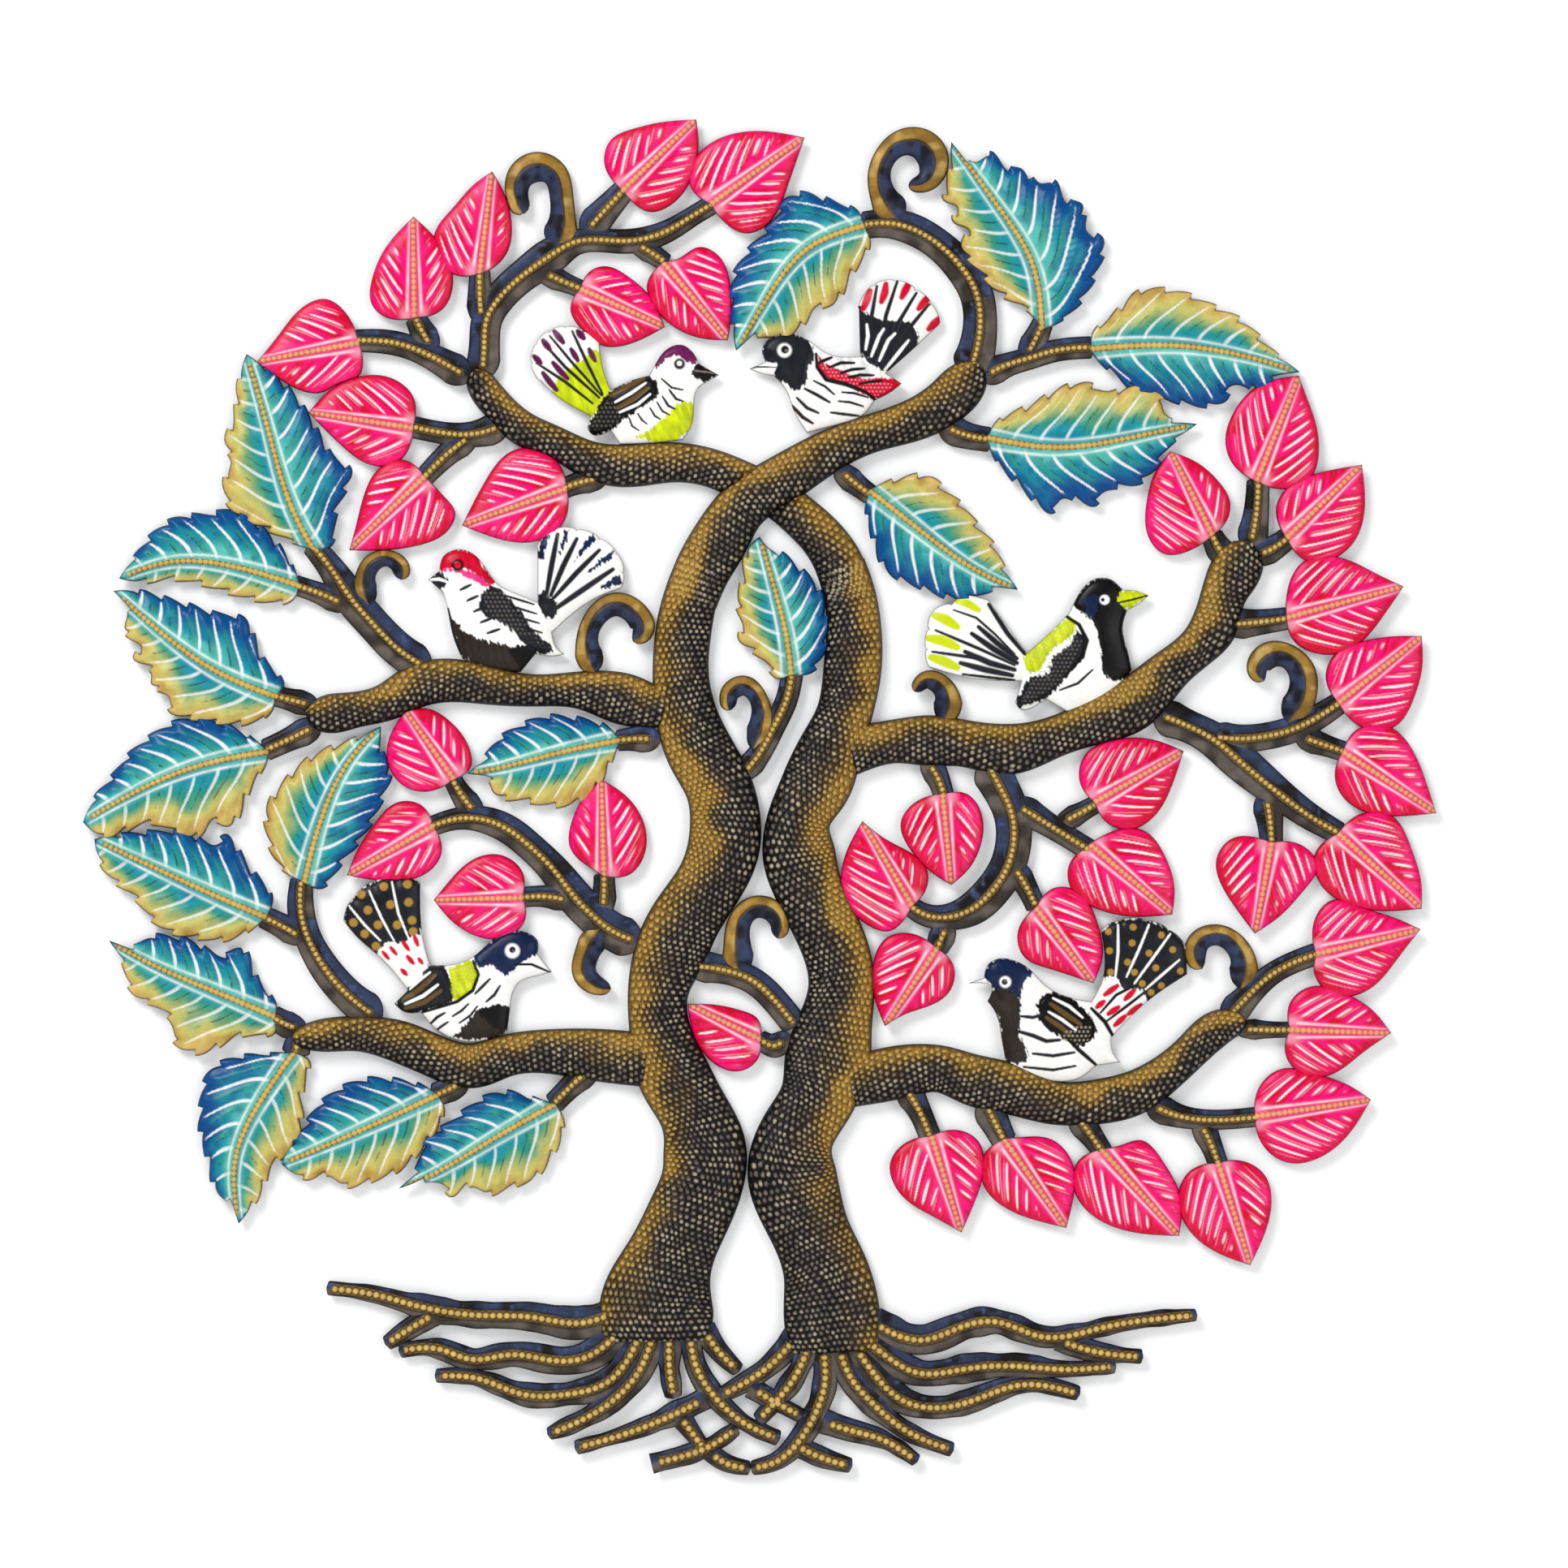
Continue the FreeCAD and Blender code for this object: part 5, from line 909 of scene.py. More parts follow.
def scrolled(crown, outer):
    """A smooth curl: an ochre band along its outer edge, slate inside, one chased line between them."""
    def relief(u, s, half, length, x, z, left):
        across = u * half
        cut = half - np.abs(across)
        arch = crown * (1 - np.abs(u) ** 2.2) ** 0.7
        place = u * outer + 0.12 * (noise(x, z, 7, 21) - 0.5)
        ends = step(4, 9, s) * step(1, 5, length - s)
        chased = np.exp(-((place - 0.12) * half / 0.38) ** 2) * ends
        soot = 0.85 * step(0.3, 0.8, noise(x, z, 3, 23))
        inner = mix(mix(SLATE, UMBER, 0.6 * noise(x, z, 5, 22)), BLACK, soot)
        band = mix(GOLD, OCHRE, 0.8 * noise(x, z, 6, 24))
        band = mix(band, BRASS, 0.45 * step(0.55, 0.9, noise(x, z, 4, 25)))
        colours = mix(inner, band, step(-0.05, 0.3, place))
        colours = mix(colours, OCHRE, 0.55 * step(0.72, 0.95, place))
        colours = mix(colours, BLACK, 0.8 * chased)
        return arch - 0.5 * chased, rim_line(colours, cut)
    return relief


def pink_leaf(base, tip, seed):
    """Hot pink to crimson, white vein strokes, and an orange beaded midrib between two white lines."""
    length = math.hypot(tip[0] - base[0], tip[1] - base[1])
    pitch, bead, lean, bend = 7.6, 1.4, 0.95, 0.030

    def relief(x, z, edge):
        side, s = to_line(x, z, [base, tip])
        away = np.abs(side)
        body = dome(edge, PINK_CROWN, 11) + 0.5 * np.exp(-(away / 5) ** 2)
        sweep = s - lean * away - bend * away ** 2 + 3.1 * (side < 0) + seed % 5
        index = np.round(sweep / pitch)
        off = (sweep - index * pitch) / np.sqrt(1 + (lean + 2 * bend * away) ** 2)
        chance = noise(index * 5.3, side * 0 + seed * 3.1 + (side < 0) * 17, 1.7, seed)
        other = noise(index * 4.1, side * 0 + seed * 5.7 + (side < 0) * 11, 1.9, seed + 5)
        start, stop = 3.0 + 3.5 * chance, 1.0 + 3.5 * other
        run = (away - start) / np.maximum(away - start + edge - stop, 1)
        reach = step(0, 1.5, away - start) * step(0, 2.0, edge - stop)
        thick = 0.22 + 0.36 * np.sin(np.pi * np.clip(0.15 + 0.8 * run, 0, 1)) * (0.6 + 0.8 * chance)
        vein = (1 - step(0.6 * thick, 1.25 * thick, np.abs(off))) * reach
        second = (1 - step(0.10, 0.42, np.abs(off - 1.3 * np.sign(other - 0.5)))) * step(5, 7, away)
        second = second * step(0.35, 0.55, other) * step(1, 4, edge)
        wash = noise(x, z, 9, seed + 40)
        colours = mix(CRIMSON, HOT_PINK, step(0.25, 0.65, wash))
        colours = mix(colours, ROSE, 0.4 * step(0.65, 0.9, noise(x, z, 6, seed + 41)))
        colours = mix(colours, CRIMSON, 0.8 * step(0.2, 1.6, off) * step(3, 6, away))
        colours = mix(colours, HOT_PINK, 0.6 * step(0.2, 1.4, -off))
        colours = mix(colours, CRIMSON, 0.65 * (1 - step(1, 7, edge)) * (side < 0))
        colours = mix(colours, ROSE, 0.7 * (1 - step(2.0, 4.0, away)))
        colours = mix(colours, BLUSH, 0.6 * (1 - step(1, 8, s)) * (1 - step(4, 8, away)))
        colours = mix(colours, WHITE, (0.95 - 0.3 * other) * vein)
        colours = mix(colours, BLUSH, 0.5 * second)
        taper = 1 - 0.55 * np.clip(s / length, 0, 1)
        inside_tip = step(0.3, 2.0, length - s) * step(-0.5, 0.5, s)
        flank = np.exp(-((away - 3.3 * taper) / (0.55 * taper + 0.15)) ** 2) * inside_tip * step(2, 5, s)
        colours = mix(colours, WHITE, 0.85 * flank * (0.6 + 0.4 * noise(x, z, 4, seed + 42)))
        width = bead * (0.45 + 0.55 * taper)
        tube = np.sqrt(np.clip(1 - (side / width) ** 2, 0, 1)) * inside_tip
        dome_bead, stamp = pearls(side, s, 0.35 + 0.72 * width)
        colours = mix(colours, HOT_PINK, 0.7 * np.exp(-((away - width * 1.3) / 0.5) ** 2) * inside_tip)
        colours = mix(colours, mix(SALMON, GOLD, 0.4 * noise(x, z, 5, seed + 43)), step(0.1, 0.5, tube))
        colours = mix(colours, RUST, 0.75 * stamp * step(0.1, 0.4, tube))
        # Peach towards the crown of each midrib bead, in step with its height: a painted highlight.
        colours = mix(colours, PEACH, 0.45 * dome_bead * inside_tip)
        colours = mix(colours, WINE, 0.85 * (1 - step(0.25, 0.75, edge)))
        height = body - 0.3 * vein - 0.2 * second - 0.3 * flank
        height = height + 0.7 * tube + 0.35 * dome_bead * inside_tip - 0.2 * stamp * tube
        return height, colours
    return relief


def teal_leaf(midrib, seed):
    """Turquoise to deep blue on the right of the midrib, sea green to gold on its left, long white veins."""
    rib = Curve(midrib).even(2.0)
    length = np.hypot(*np.diff(rib, axis=0).T).sum()
    count = 0.5 * (length + 22) / TOOTH_PITCH + 3.0
    pitch, bead = length / count, 1.6

    def relief(x, z, edge):
        side, s = to_line(x, z, rib)
        away = np.abs(side)
        body = dome(edge, TEAL_CROWN, 13) + 0.5 * np.exp(-(away / 6) ** 2)
        sweep = s - 0.50 * away - 0.014 * away ** 2 + 0.5 * pitch * (side < 0) + 1.1 * np.sin(away / 3.9)
        index = np.round(sweep / pitch)
        off = sweep - index * pitch
        wide = np.maximum(away + edge, 8)
        share = away / wide
        reach = step(0.10, 0.2, share) * (1 - step(0.84, 0.94, share))
        reach = reach * step(0, 3, s + 2) * step(1, 4, length - s)
        thick = (0.36 + 0.56 * np.sin(np.pi * np.clip(share * 1.1, 0, 1)))
        thick = thick * (0.8 + 0.4 * noise(index * 7.7, side * 0, 1.3, seed))
        vein = (1 - step(0.55 * thick, 1.2 * thick, np.abs(off) * 0.86)) * reach
        between = np.abs(off) - pitch / 2
        broken = step(0.42, 0.5, noise(away * 1.0, index * 9.7 + seed, 3.4, seed + 60))
        dash = np.exp(-(between / 0.42) ** 2) * step(0.22, 0.3, share) * (1 - step(0.6, 0.7, share)) * broken
        golden = side > 0
        wash = noise(x, z, 8, seed + 50)
        cool = mix(AQUA, TURQUOISE, step(0.12, 0.5, share + 0.25 * (wash - 0.5)))
        cool = mix(cool, DEEP, step(0.42, 0.95, share + 0.35 * (wash - 0.5)))
        green = step(0.6, pitch * 0.4, off) * step(0.1, 0.3, share) * (1 - step(0.55, 0.85, share))
        cool = mix(cool, SEA, 0.6 * green)
        warm = mix(DEEP, TURQUOISE, step(0.0, 0.25, share + 0.2 * (wash - 0.5)))
        warm = mix(warm, SEA, step(0.2, 0.5, share + 0.3 * (wash - 0.5)))
        warm = mix(warm, LEMON * 0.9, step(0.4, 0.8, share + 0.3 * (wash - 0.5)))
        rim_gold = mix(GOLD, BRASS, noise(x, z, 5, seed + 54))
        warm = mix(warm, rim_gold, step(0.72, 1.0, share + 0.25 * (wash - 0.5)))
        colours = np.where(golden[..., None], warm, cool)
        colours = mix(colours, DEEP, 0.35 * step(0.5, 0.8, noise(x, z, 3.5, seed + 51)) * ~golden)
        colours = mix(colours, WHITE, (0.86 - 0.2 * golden) * vein)
        colours = mix(colours, INK, 0.85 * dash)
        taper = 1 - 0.6 * np.clip(s / length, 0, 1)
        within = step(-0.5, 1.0, s) * step(0.5, 3, length - s)
        flank = np.exp(-((away - 3.8 * taper - 0.4) / (0.5 * taper + 0.2)) ** 2) * within
        colours = mix(colours, AQUA, 0.6 * (1 - step(2.5, 5.5, away)) * within)
        colours = mix(colours, WHITE, 0.85 * flank * (0.55 + 0.45 * noise(x, z, 6, seed + 52)))
        width = bead * (0.4 + 0.6 * taper)
        ribbed = within * (1 - step(0.92, 0.97, s / length))
        tube = np.sqrt(np.clip(1 - (side / width) ** 2, 0, 1)) * ribbed
        dome_bead, stamp = pearls(side, s, 0.35 + 0.72 * width)
        colours = mix(colours, mix(GOLD, LEMON, 0.6 * noise(x, z, 4, seed + 53)), step(0.1, 0.45, tube))
        colours = mix(colours, OCHRE * 0.5, 0.75 * stamp * step(0.1, 0.4, tube))
        # Brass towards the crown of each midrib bead, in step with its height: a painted highlight.
        colours = mix(colours, BRASS, 0.6 * dome_bead * ribbed)
        colours = mix(colours, INK, 0.9 * (1 - step(0.3, 0.9, edge)))
        height = body - 0.4 * vein - 0.45 * dash
        height = height + 0.75 * tube + 0.35 * dome_bead * ribbed - 0.2 * stamp * tube
        height = height - 0.5 * np.cos(off / pitch * 2 * np.pi) * step(0.15, 0.5, share) * step(0.5, 4, edge)
        return height, colours
    return relief


def painted_bird(name):
    """White, then each brush mark of the bird's own list, laid on in order."""
    marks = BIRD_MARKS[name]

    def relief(x, z, edge):
        height = dome(edge, BIRD_CROWN, 12)
        speckle = noise(x, z, 5, 31)
        colours = mix(np.broadcast_to(WHITE, x.shape + (3,)), CREAM, 0.10 * speckle)
        for kind, colour, size, points in marks:
            if kind == "area":
                outline = Curve(points + points[:1]).even(1.0)[:-1] if len(points) > 4 else np.array(points)
                feathered = 1.7 * (noise(x + 0.35 * z, z / 4, 0.75, 35) - 0.5)
                ragged = 0.8 * (noise(x, z, 0.9, 33) - 0.5) + feathered
                depth = np.where(inside(x, z, outline), 1, -1) * edge_distance(x, z, outline)
                cover = step(-0.3, 0.3, depth + ragged)
                height = height + size * step(0, 2.2, depth)
                shade = colour * (0.7 + 0.5 * noise(x + 0.35 * z, z / 3, 1.4, 34))[..., None]
                colours = mix(colours, shade, cover)
            elif kind == "line":
                side, s = to_line(x, z, points)
                length = np.hypot(*np.diff(np.array(points, float), axis=0).T).sum()
                share = np.clip(s / length, 0, 1)
                width = size * (0.35 + 0.65 * np.sin(np.pi * (0.15 + 0.7 * share)))
                cover = 1 - step(width * 0.7, width * 1.15 + 0.1, np.abs(side))
                cover = cover * (s > -size) * (s < length + size)
                colours = mix(colours, colour, cover)
                height = height - 0.22 * cover
            elif kind == "dots":
                for dot_x, dot_z in points:
                    cover = 1 - step(size * 0.75, size * 1.15, np.hypot(x - dot_x, z - dot_z))
                    colours = mix(colours, colour, cover)
                    height = height + 0.15 * cover
            elif kind == "punch":
                outline = np.array(points)
                area = inside(x, z, outline)
                row, column = z / size, x / size + 0.5 * (np.floor(z / size) % 2)
                away = np.hypot(row - np.floor(row) - 0.5, column - np.floor(column) - 0.5)
                pearl = 1 - step(0.15, 0.4, away)
                height = height + 0.3 * pearl * area
                colours = mix(colours, colour, 0.5 * pearl * area)
        return height, mix(colours, BLACK, 0.75 * (1 - step(0.15, 0.6, edge)))
    return relief


# Each bird's brush marks: kind, colour, size in millimetres, points. An area's size is how far it is raised.
BIRD_MARKS = {
    "bird_top_left": [
        ("area", LIME, 0, [(-92, 174), (-75, 163), (-66, 175), (-69.5, 190), (-73, 193), (-78, 189),
                           (-85, 184), (-90, 179)]),
        ("area", LIME, 0, [(-55, 154), (-36, 153.5), (-30, 160), (-29.5, 169), (-36, 169), (-42, 163),
                           (-48, 158)]),
        ("area", PLUM, 0.3, [(-46, 184), (-46, 189), (-41, 193.5), (-35, 195.2), (-30, 192.5), (-27.5, 188),
                            (-30, 187), (-35, 190), (-41, 189)]),
        ("area", BLACK, 1.4, [(-76.5, 158), (-74.5, 155.5), (-66, 157), (-60, 162), (-51, 168), (-46, 172),
                             (-45, 176), (-47, 180), (-50, 181.5), (-57, 179), (-66, 175), (-71, 168)]),
        ("line", OCHRE, 1.3, [(-66, 172.5), (-58, 177), (-51.5, 180)]),
        ("line", OCHRE, 1.1, [(-63, 167), (-56, 171), (-49.5, 176)]),
        ("line", WHITE, 0.7, [(-64, 169.5), (-57, 173.5), (-50.5, 178)]),
        ("line", WHITE, 0.7, [(-62, 165), (-54, 168.5), (-48.5, 173)]),
        ("punch", TAUPE, 2.0, [(-75, 157), (-66, 158), (-60, 163), (-66, 170), (-71, 167)]),
        ("line", INK, 0.75, [(-99, 187), (-86, 178.5), (-74, 169)]),
        ("line", INK, 0.8, [(-96, 196), (-86, 185), (-71, 171.5)]),
        ("line", INK, 0.7, [(-93, 199), (-83, 187), (-70, 172.5)]),
        ("line", INK, 0.8, [(-83, 201), (-76, 186), (-69.5, 173)]),
        ("line", PLUM * 0.7, 1.5, [(-96, 182.5), (-93, 178.5), (-90, 175)]),
        ("line", PLUM * 0.7, 1.5, [(-100, 190), (-97, 187)]),
        ("line", PLUM * 0.7, 1.5, [(-91.5, 187), (-88, 183), (-85, 180)]),
        ("line", PLUM * 0.7, 1.6, [(-96, 197), (-93, 193)]),
        ("line", PLUM * 0.7, 1.6, [(-91, 201), (-87, 196)]),
        ("line", PLUM * 0.7, 1.4, [(-83.5, 193), (-80.5, 188)]),
        ("line", PLUM * 0.7, 1.8, [(-80.5, 201), (-78, 198)]),
        ("line", PLUM * 0.7, 1.4, [(-75.5, 193), (-73, 188)]),
        ("line", INK, 0.5, [(-43.5, 180), (-39, 176), (-34, 175)]),
        ("line", INK, 0.6, [(-40, 175), (-37, 171), (-34, 170)]),
        ("line", INK, 0.6, [(-43, 172), (-40.5, 168), (-37.5, 166.5)]),
        ("line", INK, 0.5, [(-45.5, 169.5), (-43, 165.5), (-40, 164)]),
        ("line", INK, 0.5, [(-48.5, 167), (-46.5, 163.5), (-44, 162)]),
        ("line", INK, 0.45, [(-54, 164.5), (-52, 161.5), (-50, 160)]),
        ("line", INK, 0.45, [(-58, 163), (-56.5, 159), (-53.5, 157)]),
        ("area", BLACK, 0.5, [(-30.5, 182), (-27, 187), (-18, 182), (-25, 178)]),
        ("line", TAUPE, 0.45, [(-29, 183.5), (-24, 183), (-20, 182.5)]),
        ("dots", INK, 2.6, [(-35.5, 186.5)]),
        ("dots", WHITE, 1.2, [(-35.5, 186.7)]),
    ],
    "bird_top_right": [
        ("area", INK, 0.5, [(2.5, 187.5), (1, 193), (5, 198.5), (14, 200), (21, 197), (24, 192), (22, 185),
                            (20, 178), (16, 174.5), (12, 178), (6, 181.5), (8, 186)]),
        ("area", INK, 0, [(45, 190), (56, 183), (70, 200), (62, 206), (52, 206), (44.5, 212)]),
        ("area", CRIMSON, 1.2, [(26, 190), (26, 185), (30, 180), (38, 177), (46, 173), (52, 170.8),
                               (62.5, 178), (54, 180.5), (46, 181), (36, 184)]),
        ("area", WHITE, 0.3, [(27, 190), (36, 190), (45, 188), (54, 182), (46, 180), (36, 184), (28, 187.5)]),
        ("punch", BLUSH, 1.7, [(27, 186), (30, 181), (44, 176), (52, 172), (60, 177), (46, 181)]),
        ("line", BLACK, 1.0, [(25, 191), (25.5, 185), (29.5, 179.5), (38, 177.5), (47, 174), (51, 170.8)]),
        ("line", BLACK, 0.8, [(26, 187), (32, 189.5)]),
        ("line", BLACK, 0.8, [(31, 185), (36, 187), (42, 187)]),
        ("line", BLACK, 0.8, [(36, 182.5), (41, 184), (46.5, 184.5)]),
        ("line", BLACK, 0.8, [(39.5, 180.5), (44, 181.5), (50.5, 181.5)]),
        ("line", BLACK, 0.7, [(44, 177.5), (49, 178.5), (54, 179)]),
        ("line", INK, 0.8, [(20, 175.5), (25, 173), (31, 169.5)]),
        ("line", INK, 0.6, [(24, 179), (29, 176.5), (33, 173)]),
        ("line", UMBER, 0.8, [(16.5, 171.5), (21, 167), (26, 164.8)]),
        ("line", UMBER, 0.9, [(14.5, 168), (19, 163), (23.5, 160.2)]),
        ("line", INK, 0.6, [(36.5, 174), (42, 173.5), (48, 171.7)]),
        ("line", INK, 0.6, [(35, 170), (40, 169.5), (46, 167.7)]),
        ("line", INK, 0.7, [(31.5, 165), (37, 164.3), (44, 163.5)]),
        ("line", INK, 1.0, [(48, 190), (49.5, 207), (52, 221)]),
        ("line", INK, 1.0, [(52, 186), (56, 208), (61, 223)]),
        ("line", INK, 1.0, [(54, 185), (61, 204), (69.5, 218)]),
        ("line", INK, 1.0, [(56, 184), (66, 202), (75, 213)]),
        ("line", WHITE, 0.8, [(47, 193), (48, 199), (47.5, 204)]),
        ("line", WHITE, 0.8, [(49.5, 190), (53, 199), (55, 202)]),
        ("line", WHITE, 0.8, [(53, 188), (57, 197), (60, 200)]),
        ("line", WHITE, 0.8, [(55.5, 184), (62, 192), (66, 197)]),
    ] + [("line", CRIMSON, 1.9, stroke) for stroke in (
        [(46, 211), (47.5, 215), (49, 219)], [(54, 214), (55.5, 218), (56, 222)],
        [(63, 216), (65, 220), (66.5, 223)], [(70.5, 211), (73, 214), (75.5, 217)],
        [(75, 202), (77.5, 204.5), (80, 207)])] + [
        ("line", BLACK, 0.35, [(-4.5, 184.7), (0, 185.3), (7, 185)]),
        ("dots", WHITE, 3.3, [(11, 192.5)]),
        ("dots", BLACK, 1.9, [(11.2, 192.8)]),
        ("dots", TAUPE, 0.7, [(11.8, 192.4)]),
    ],
    "bird_mid_left": [
        ("area", CRIMSON, 0.3, [(-142, 95), (-140.5, 101), (-134, 104.5), (-127, 102.5), (-121, 95.5),
                               (-117, 89.5), (-121, 89), (-127, 94), (-135, 96)]),
        ("area", ROSE, 0, [(-140, 95.5), (-133, 96), (-126, 94), (-120, 89), (-117, 87), (-122, 88),
                           (-130, 92)]),
        ("area", UMBER, 0, [(-138, 76), (-134, 64), (-131, 57), (-118, 51), (-106, 50), (-99, 58), (-108, 61),
                            (-118, 63), (-127, 66), (-133, 70)]),
        ("area", INK, 1.3, [(-122, 86), (-124, 81), (-121, 75), (-113, 71), (-106, 64), (-100, 59), (-92, 59),
                           (-94, 63), (-101, 69), (-106, 77), (-113, 85), (-118, 88)]),
        ("punch", TAUPE, 2.0, [(-122, 86), (-122, 77), (-106, 66), (-92, 60), (-106, 77), (-115, 87)]),
        ("area", BLACK, 0, [(-112, 60), (-103, 63), (-99.5, 58), (-106, 51)]),
        ("line", INK, 0.9, [(-138.2, 78), (-136, 68), (-132.5, 58)]),
    ] + [("line", UMBER, 0.6, [(-133 + 3.4 * i, 67 - 0.8 * i), (-131 + 3.6 * i, 58 - 0.9 * i)])
         for i in range(7)]
      + [("line", INK, 0.55, [(-113 + 2.2 * i, 84 - 4.6 * i), (-100 + 1.2 * i, 80 - 4.2 * i)])
         for i in range(6)]
      + [("line", INK, 0.7, [(-132.5 + 3.0 * i, 86.4 - 4.8 * i), (-128 + 3.2 * i, 88.6 - 4.9 * i)])
         for i in range(5)] + [
        ("area", INK, 0.4, [(-98.5, 80), (-96, 76), (-93, 73.5), (-90, 76.5), (-93, 84), (-96, 86)]),
        ("line", INK, 1.35, [(-94.5, 84), (-92, 98), (-89.5, 111)]),
        ("line", INK, 1.35, [(-92.5, 84), (-87, 97), (-81, 109)]),
        ("line", INK, 1.3, [(-91, 83), (-81, 94), (-71, 104)]),
        ("line", INK, 1.4, [(-92, 77), (-79, 86), (-65, 95.5)]),
        ("area", NAVY, 0, [(-99, 101), (-96, 111), (-93, 111), (-96, 100)]),
        ("area", NAVY, 0, [(-89, 101), (-86.5, 113), (-84, 113), (-87, 105)]),
        ("area", NAVY, 0, [(-82, 99), (-78, 107), (-74, 111), (-72.5, 109)]),
        ("area", NAVY, 0, [(-76, 94), (-70, 101), (-65, 103.5), (-66, 100)]),
        ("area", NAVY, 0, [(-71, 87), (-66, 91), (-62, 93), (-61, 89)]),
        ("area", INK, 0.5, [(-147, 91), (-142, 95), (-138, 90.5), (-142, 85.5)]),
        ("line", WHITE, 0.7, [(-146, 91), (-142, 91.2), (-138.5, 90)]),
        ("dots", BLACK, 2.9, [(-133.8, 97.5)]),
        ("dots", CRIMSON, 1.6, [(-133.8, 97.5)]),
    ],
    "bird_mid_right": [
        ("area", BLACK, 0.4, [(161.5, 87), (155, 91.5), (148, 91), (142, 86), (139, 80), (145, 75), (149, 69),
                             (151, 60), (153, 49), (157, 46), (164.5, 50), (163.5, 60), (161.5, 70),
                             (163, 77), (160, 82)]),
        ("area", NAVY, 0, [(143, 82), (149, 84), (149, 77), (146, 73), (144, 77)]),
        ("area", LIME, 0.9, [(137, 75), (140, 71), (137, 65), (130, 60), (122, 50), (119, 50),
                             (118, 59), (127, 67)]),
        ("area", INK, 1.2, [(144, 66), (144, 58), (138, 50), (130, 41), (121, 36), (114, 34.5), (117, 43),
                           (121, 48), (127, 49), (130, 57), (137, 62), (141, 68)]),
        ("punch", TAUPE, 1.9, [(143, 64), (136, 48), (120, 36), (115, 35), (121, 47), (130, 56), (140, 66)]),
        ("punch", LEMON, 1.7, [(137, 74), (139, 68), (122, 52), (118, 58)]),
        ("line", BLACK, 1.0, [(135.5, 75), (141.5, 71), (145, 64), (143, 57), (135, 48)]),
        ("line", INK, 1.2, [(117.5, 58), (110, 67), (101.5, 80)]),
        ("line", INK, 0.6, [(113, 58), (104, 67), (96, 74), (86, 77.5)]),
        ("line", INK, 1.4, [(114, 56), (105, 63), (97, 70)]),
        ("line", INK, 1.5, [(114, 54), (104, 60), (94, 67)]),
        ("line", INK, 0.8, [(113, 53), (98, 60), (78, 68.5)]),
        ("line", INK, 1.5, [(113, 51), (102, 54), (91, 59)]),
        ("line", INK, 0.8, [(110, 52), (94, 56.5), (76.5, 59)]),
        ("line", INK, 1.5, [(112, 48.5), (100, 51), (89, 54)]),
        ("line", INK, 0.7, [(113, 46.5), (103, 47.5), (90, 49)]),
        ("line", LIME, 1.9, [(87.5, 81.5), (92, 80.5), (97, 77.5)]),
        ("line", LIME, 2.4, [(77.5, 75), (82, 73.5), (87.5, 70)]),
        ("line", LIME, 2.5, [(75, 65), (81, 64), (87.5, 61)]),
        ("line", LIME, 2.4, [(76, 56.5), (81, 55), (87.5, 52)]),
        ("line", INK, 0.6, [(133, 42), (141, 45), (147.5, 51)]),
        ("area", LIME, 0.5, [(158, 80.5), (161.5, 86.3), (166, 86), (172, 84), (168, 80.5), (163, 78)]),
        ("line", BLACK, 0.45, [(158, 80.5), (165, 82), (172, 84)]),
        ("dots", WHITE, 2.3, [(152.8, 82)]),
        ("dots", BLACK, 0.9, [(152, 82)]),
    ],
    "bird_low_left": [
        ("area", NAVY, 0.4, [(-98.5, -75), (-98.5, -69), (-104.5, -65), (-113, -65.5), (-120, -70),
                            (-127, -76), (-124, -81), (-119, -80), (-114, -84), (-109, -82), (-104, -78)]),
        ("area", UMBER, 0, [(-138, -112), (-133, -109), (-125, -100), (-118, -98), (-110.5, -99),
                            (-112, -109), (-124, -113)]),
        ("area", BLACK, 0, [(-124, -100), (-118, -98), (-111, -99), (-112, -108), (-120, -106)]),
        ("area", LIME, 1.2, [(-139, -81), (-133, -79.5), (-127, -78), (-125, -84), (-127, -91), (-131, -94),
                            (-136, -95), (-137, -88)]),
        ("area", INK, 1.1, [(-147, -80), (-139, -81), (-137, -88), (-136, -95), (-144, -99), (-152, -101),
                           (-160, -100), (-161.5, -96.5), (-154, -89)]),
        ("line", OCHRE, 1.1, [(-158, -95), (-150, -90), (-144, -84)]),
        ("line", OCHRE, 1.1, [(-157, -99), (-148, -96), (-141, -91)]),
        ("line", WHITE, 0.8, [(-157, -97), (-149, -93.5), (-142.5, -88.5)]),
        ("line", WHITE, 0.6, [(-155, -90.5), (-150, -86), (-146, -83)]),
        ("punch", LEMON, 1.6, [(-138, -81), (-126, -79), (-126, -90), (-136, -94)]),
        ("line", BLACK, 0.8, [(-127, -78), (-124.5, -84), (-127, -91), (-134, -96), (-150, -101)]),
        ("area", INK, 0.2, [(-150.5, -66), (-150.5, -43), (-157, -40), (-171, -43), (-179, -49), (-184, -60),
                           (-170, -75), (-165, -70), (-158, -70), (-153, -66)]),
        ("line", WHITE, 0.55, [(-163, -43), (-160, -57), (-155.5, -68)]),
        ("line", WHITE, 0.55, [(-173, -47), (-167, -60), (-162, -69)]),
        ("line", WHITE, 0.55, [(-182, -53.5), (-175, -62), (-168, -69)]),
        ("dots", GOLD, 2.0, [(-156, -44), (-155.5, -52), (-154, -60), (-153.5, -65), (-166.5, -45),
                              (-163.5, -53), (-160.5, -62), (-176.5, -48.5), (-173.5, -55.5),
                              (-169, -62), (-180, -61), (-175, -66), (-170, -71.5)]),
        ("line", CRIMSON, 1.1, [(-153, -67), (-151.5, -71)]),
        ("line", CRIMSON, 1.1, [(-158, -69.5), (-155.5, -73)]),
        ("line", CRIMSON, 1.0, [(-163.5, -72), (-161, -75)]),
        ("line", CRIMSON, 1.0, [(-167, -74), (-164.5, -77)]),
        ("line", CRIMSON, 1.2, [(-156, -76), (-153.5, -79)]),
        ("line", CRIMSON, 1.0, [(-151, -77), (-149.5, -79)]),
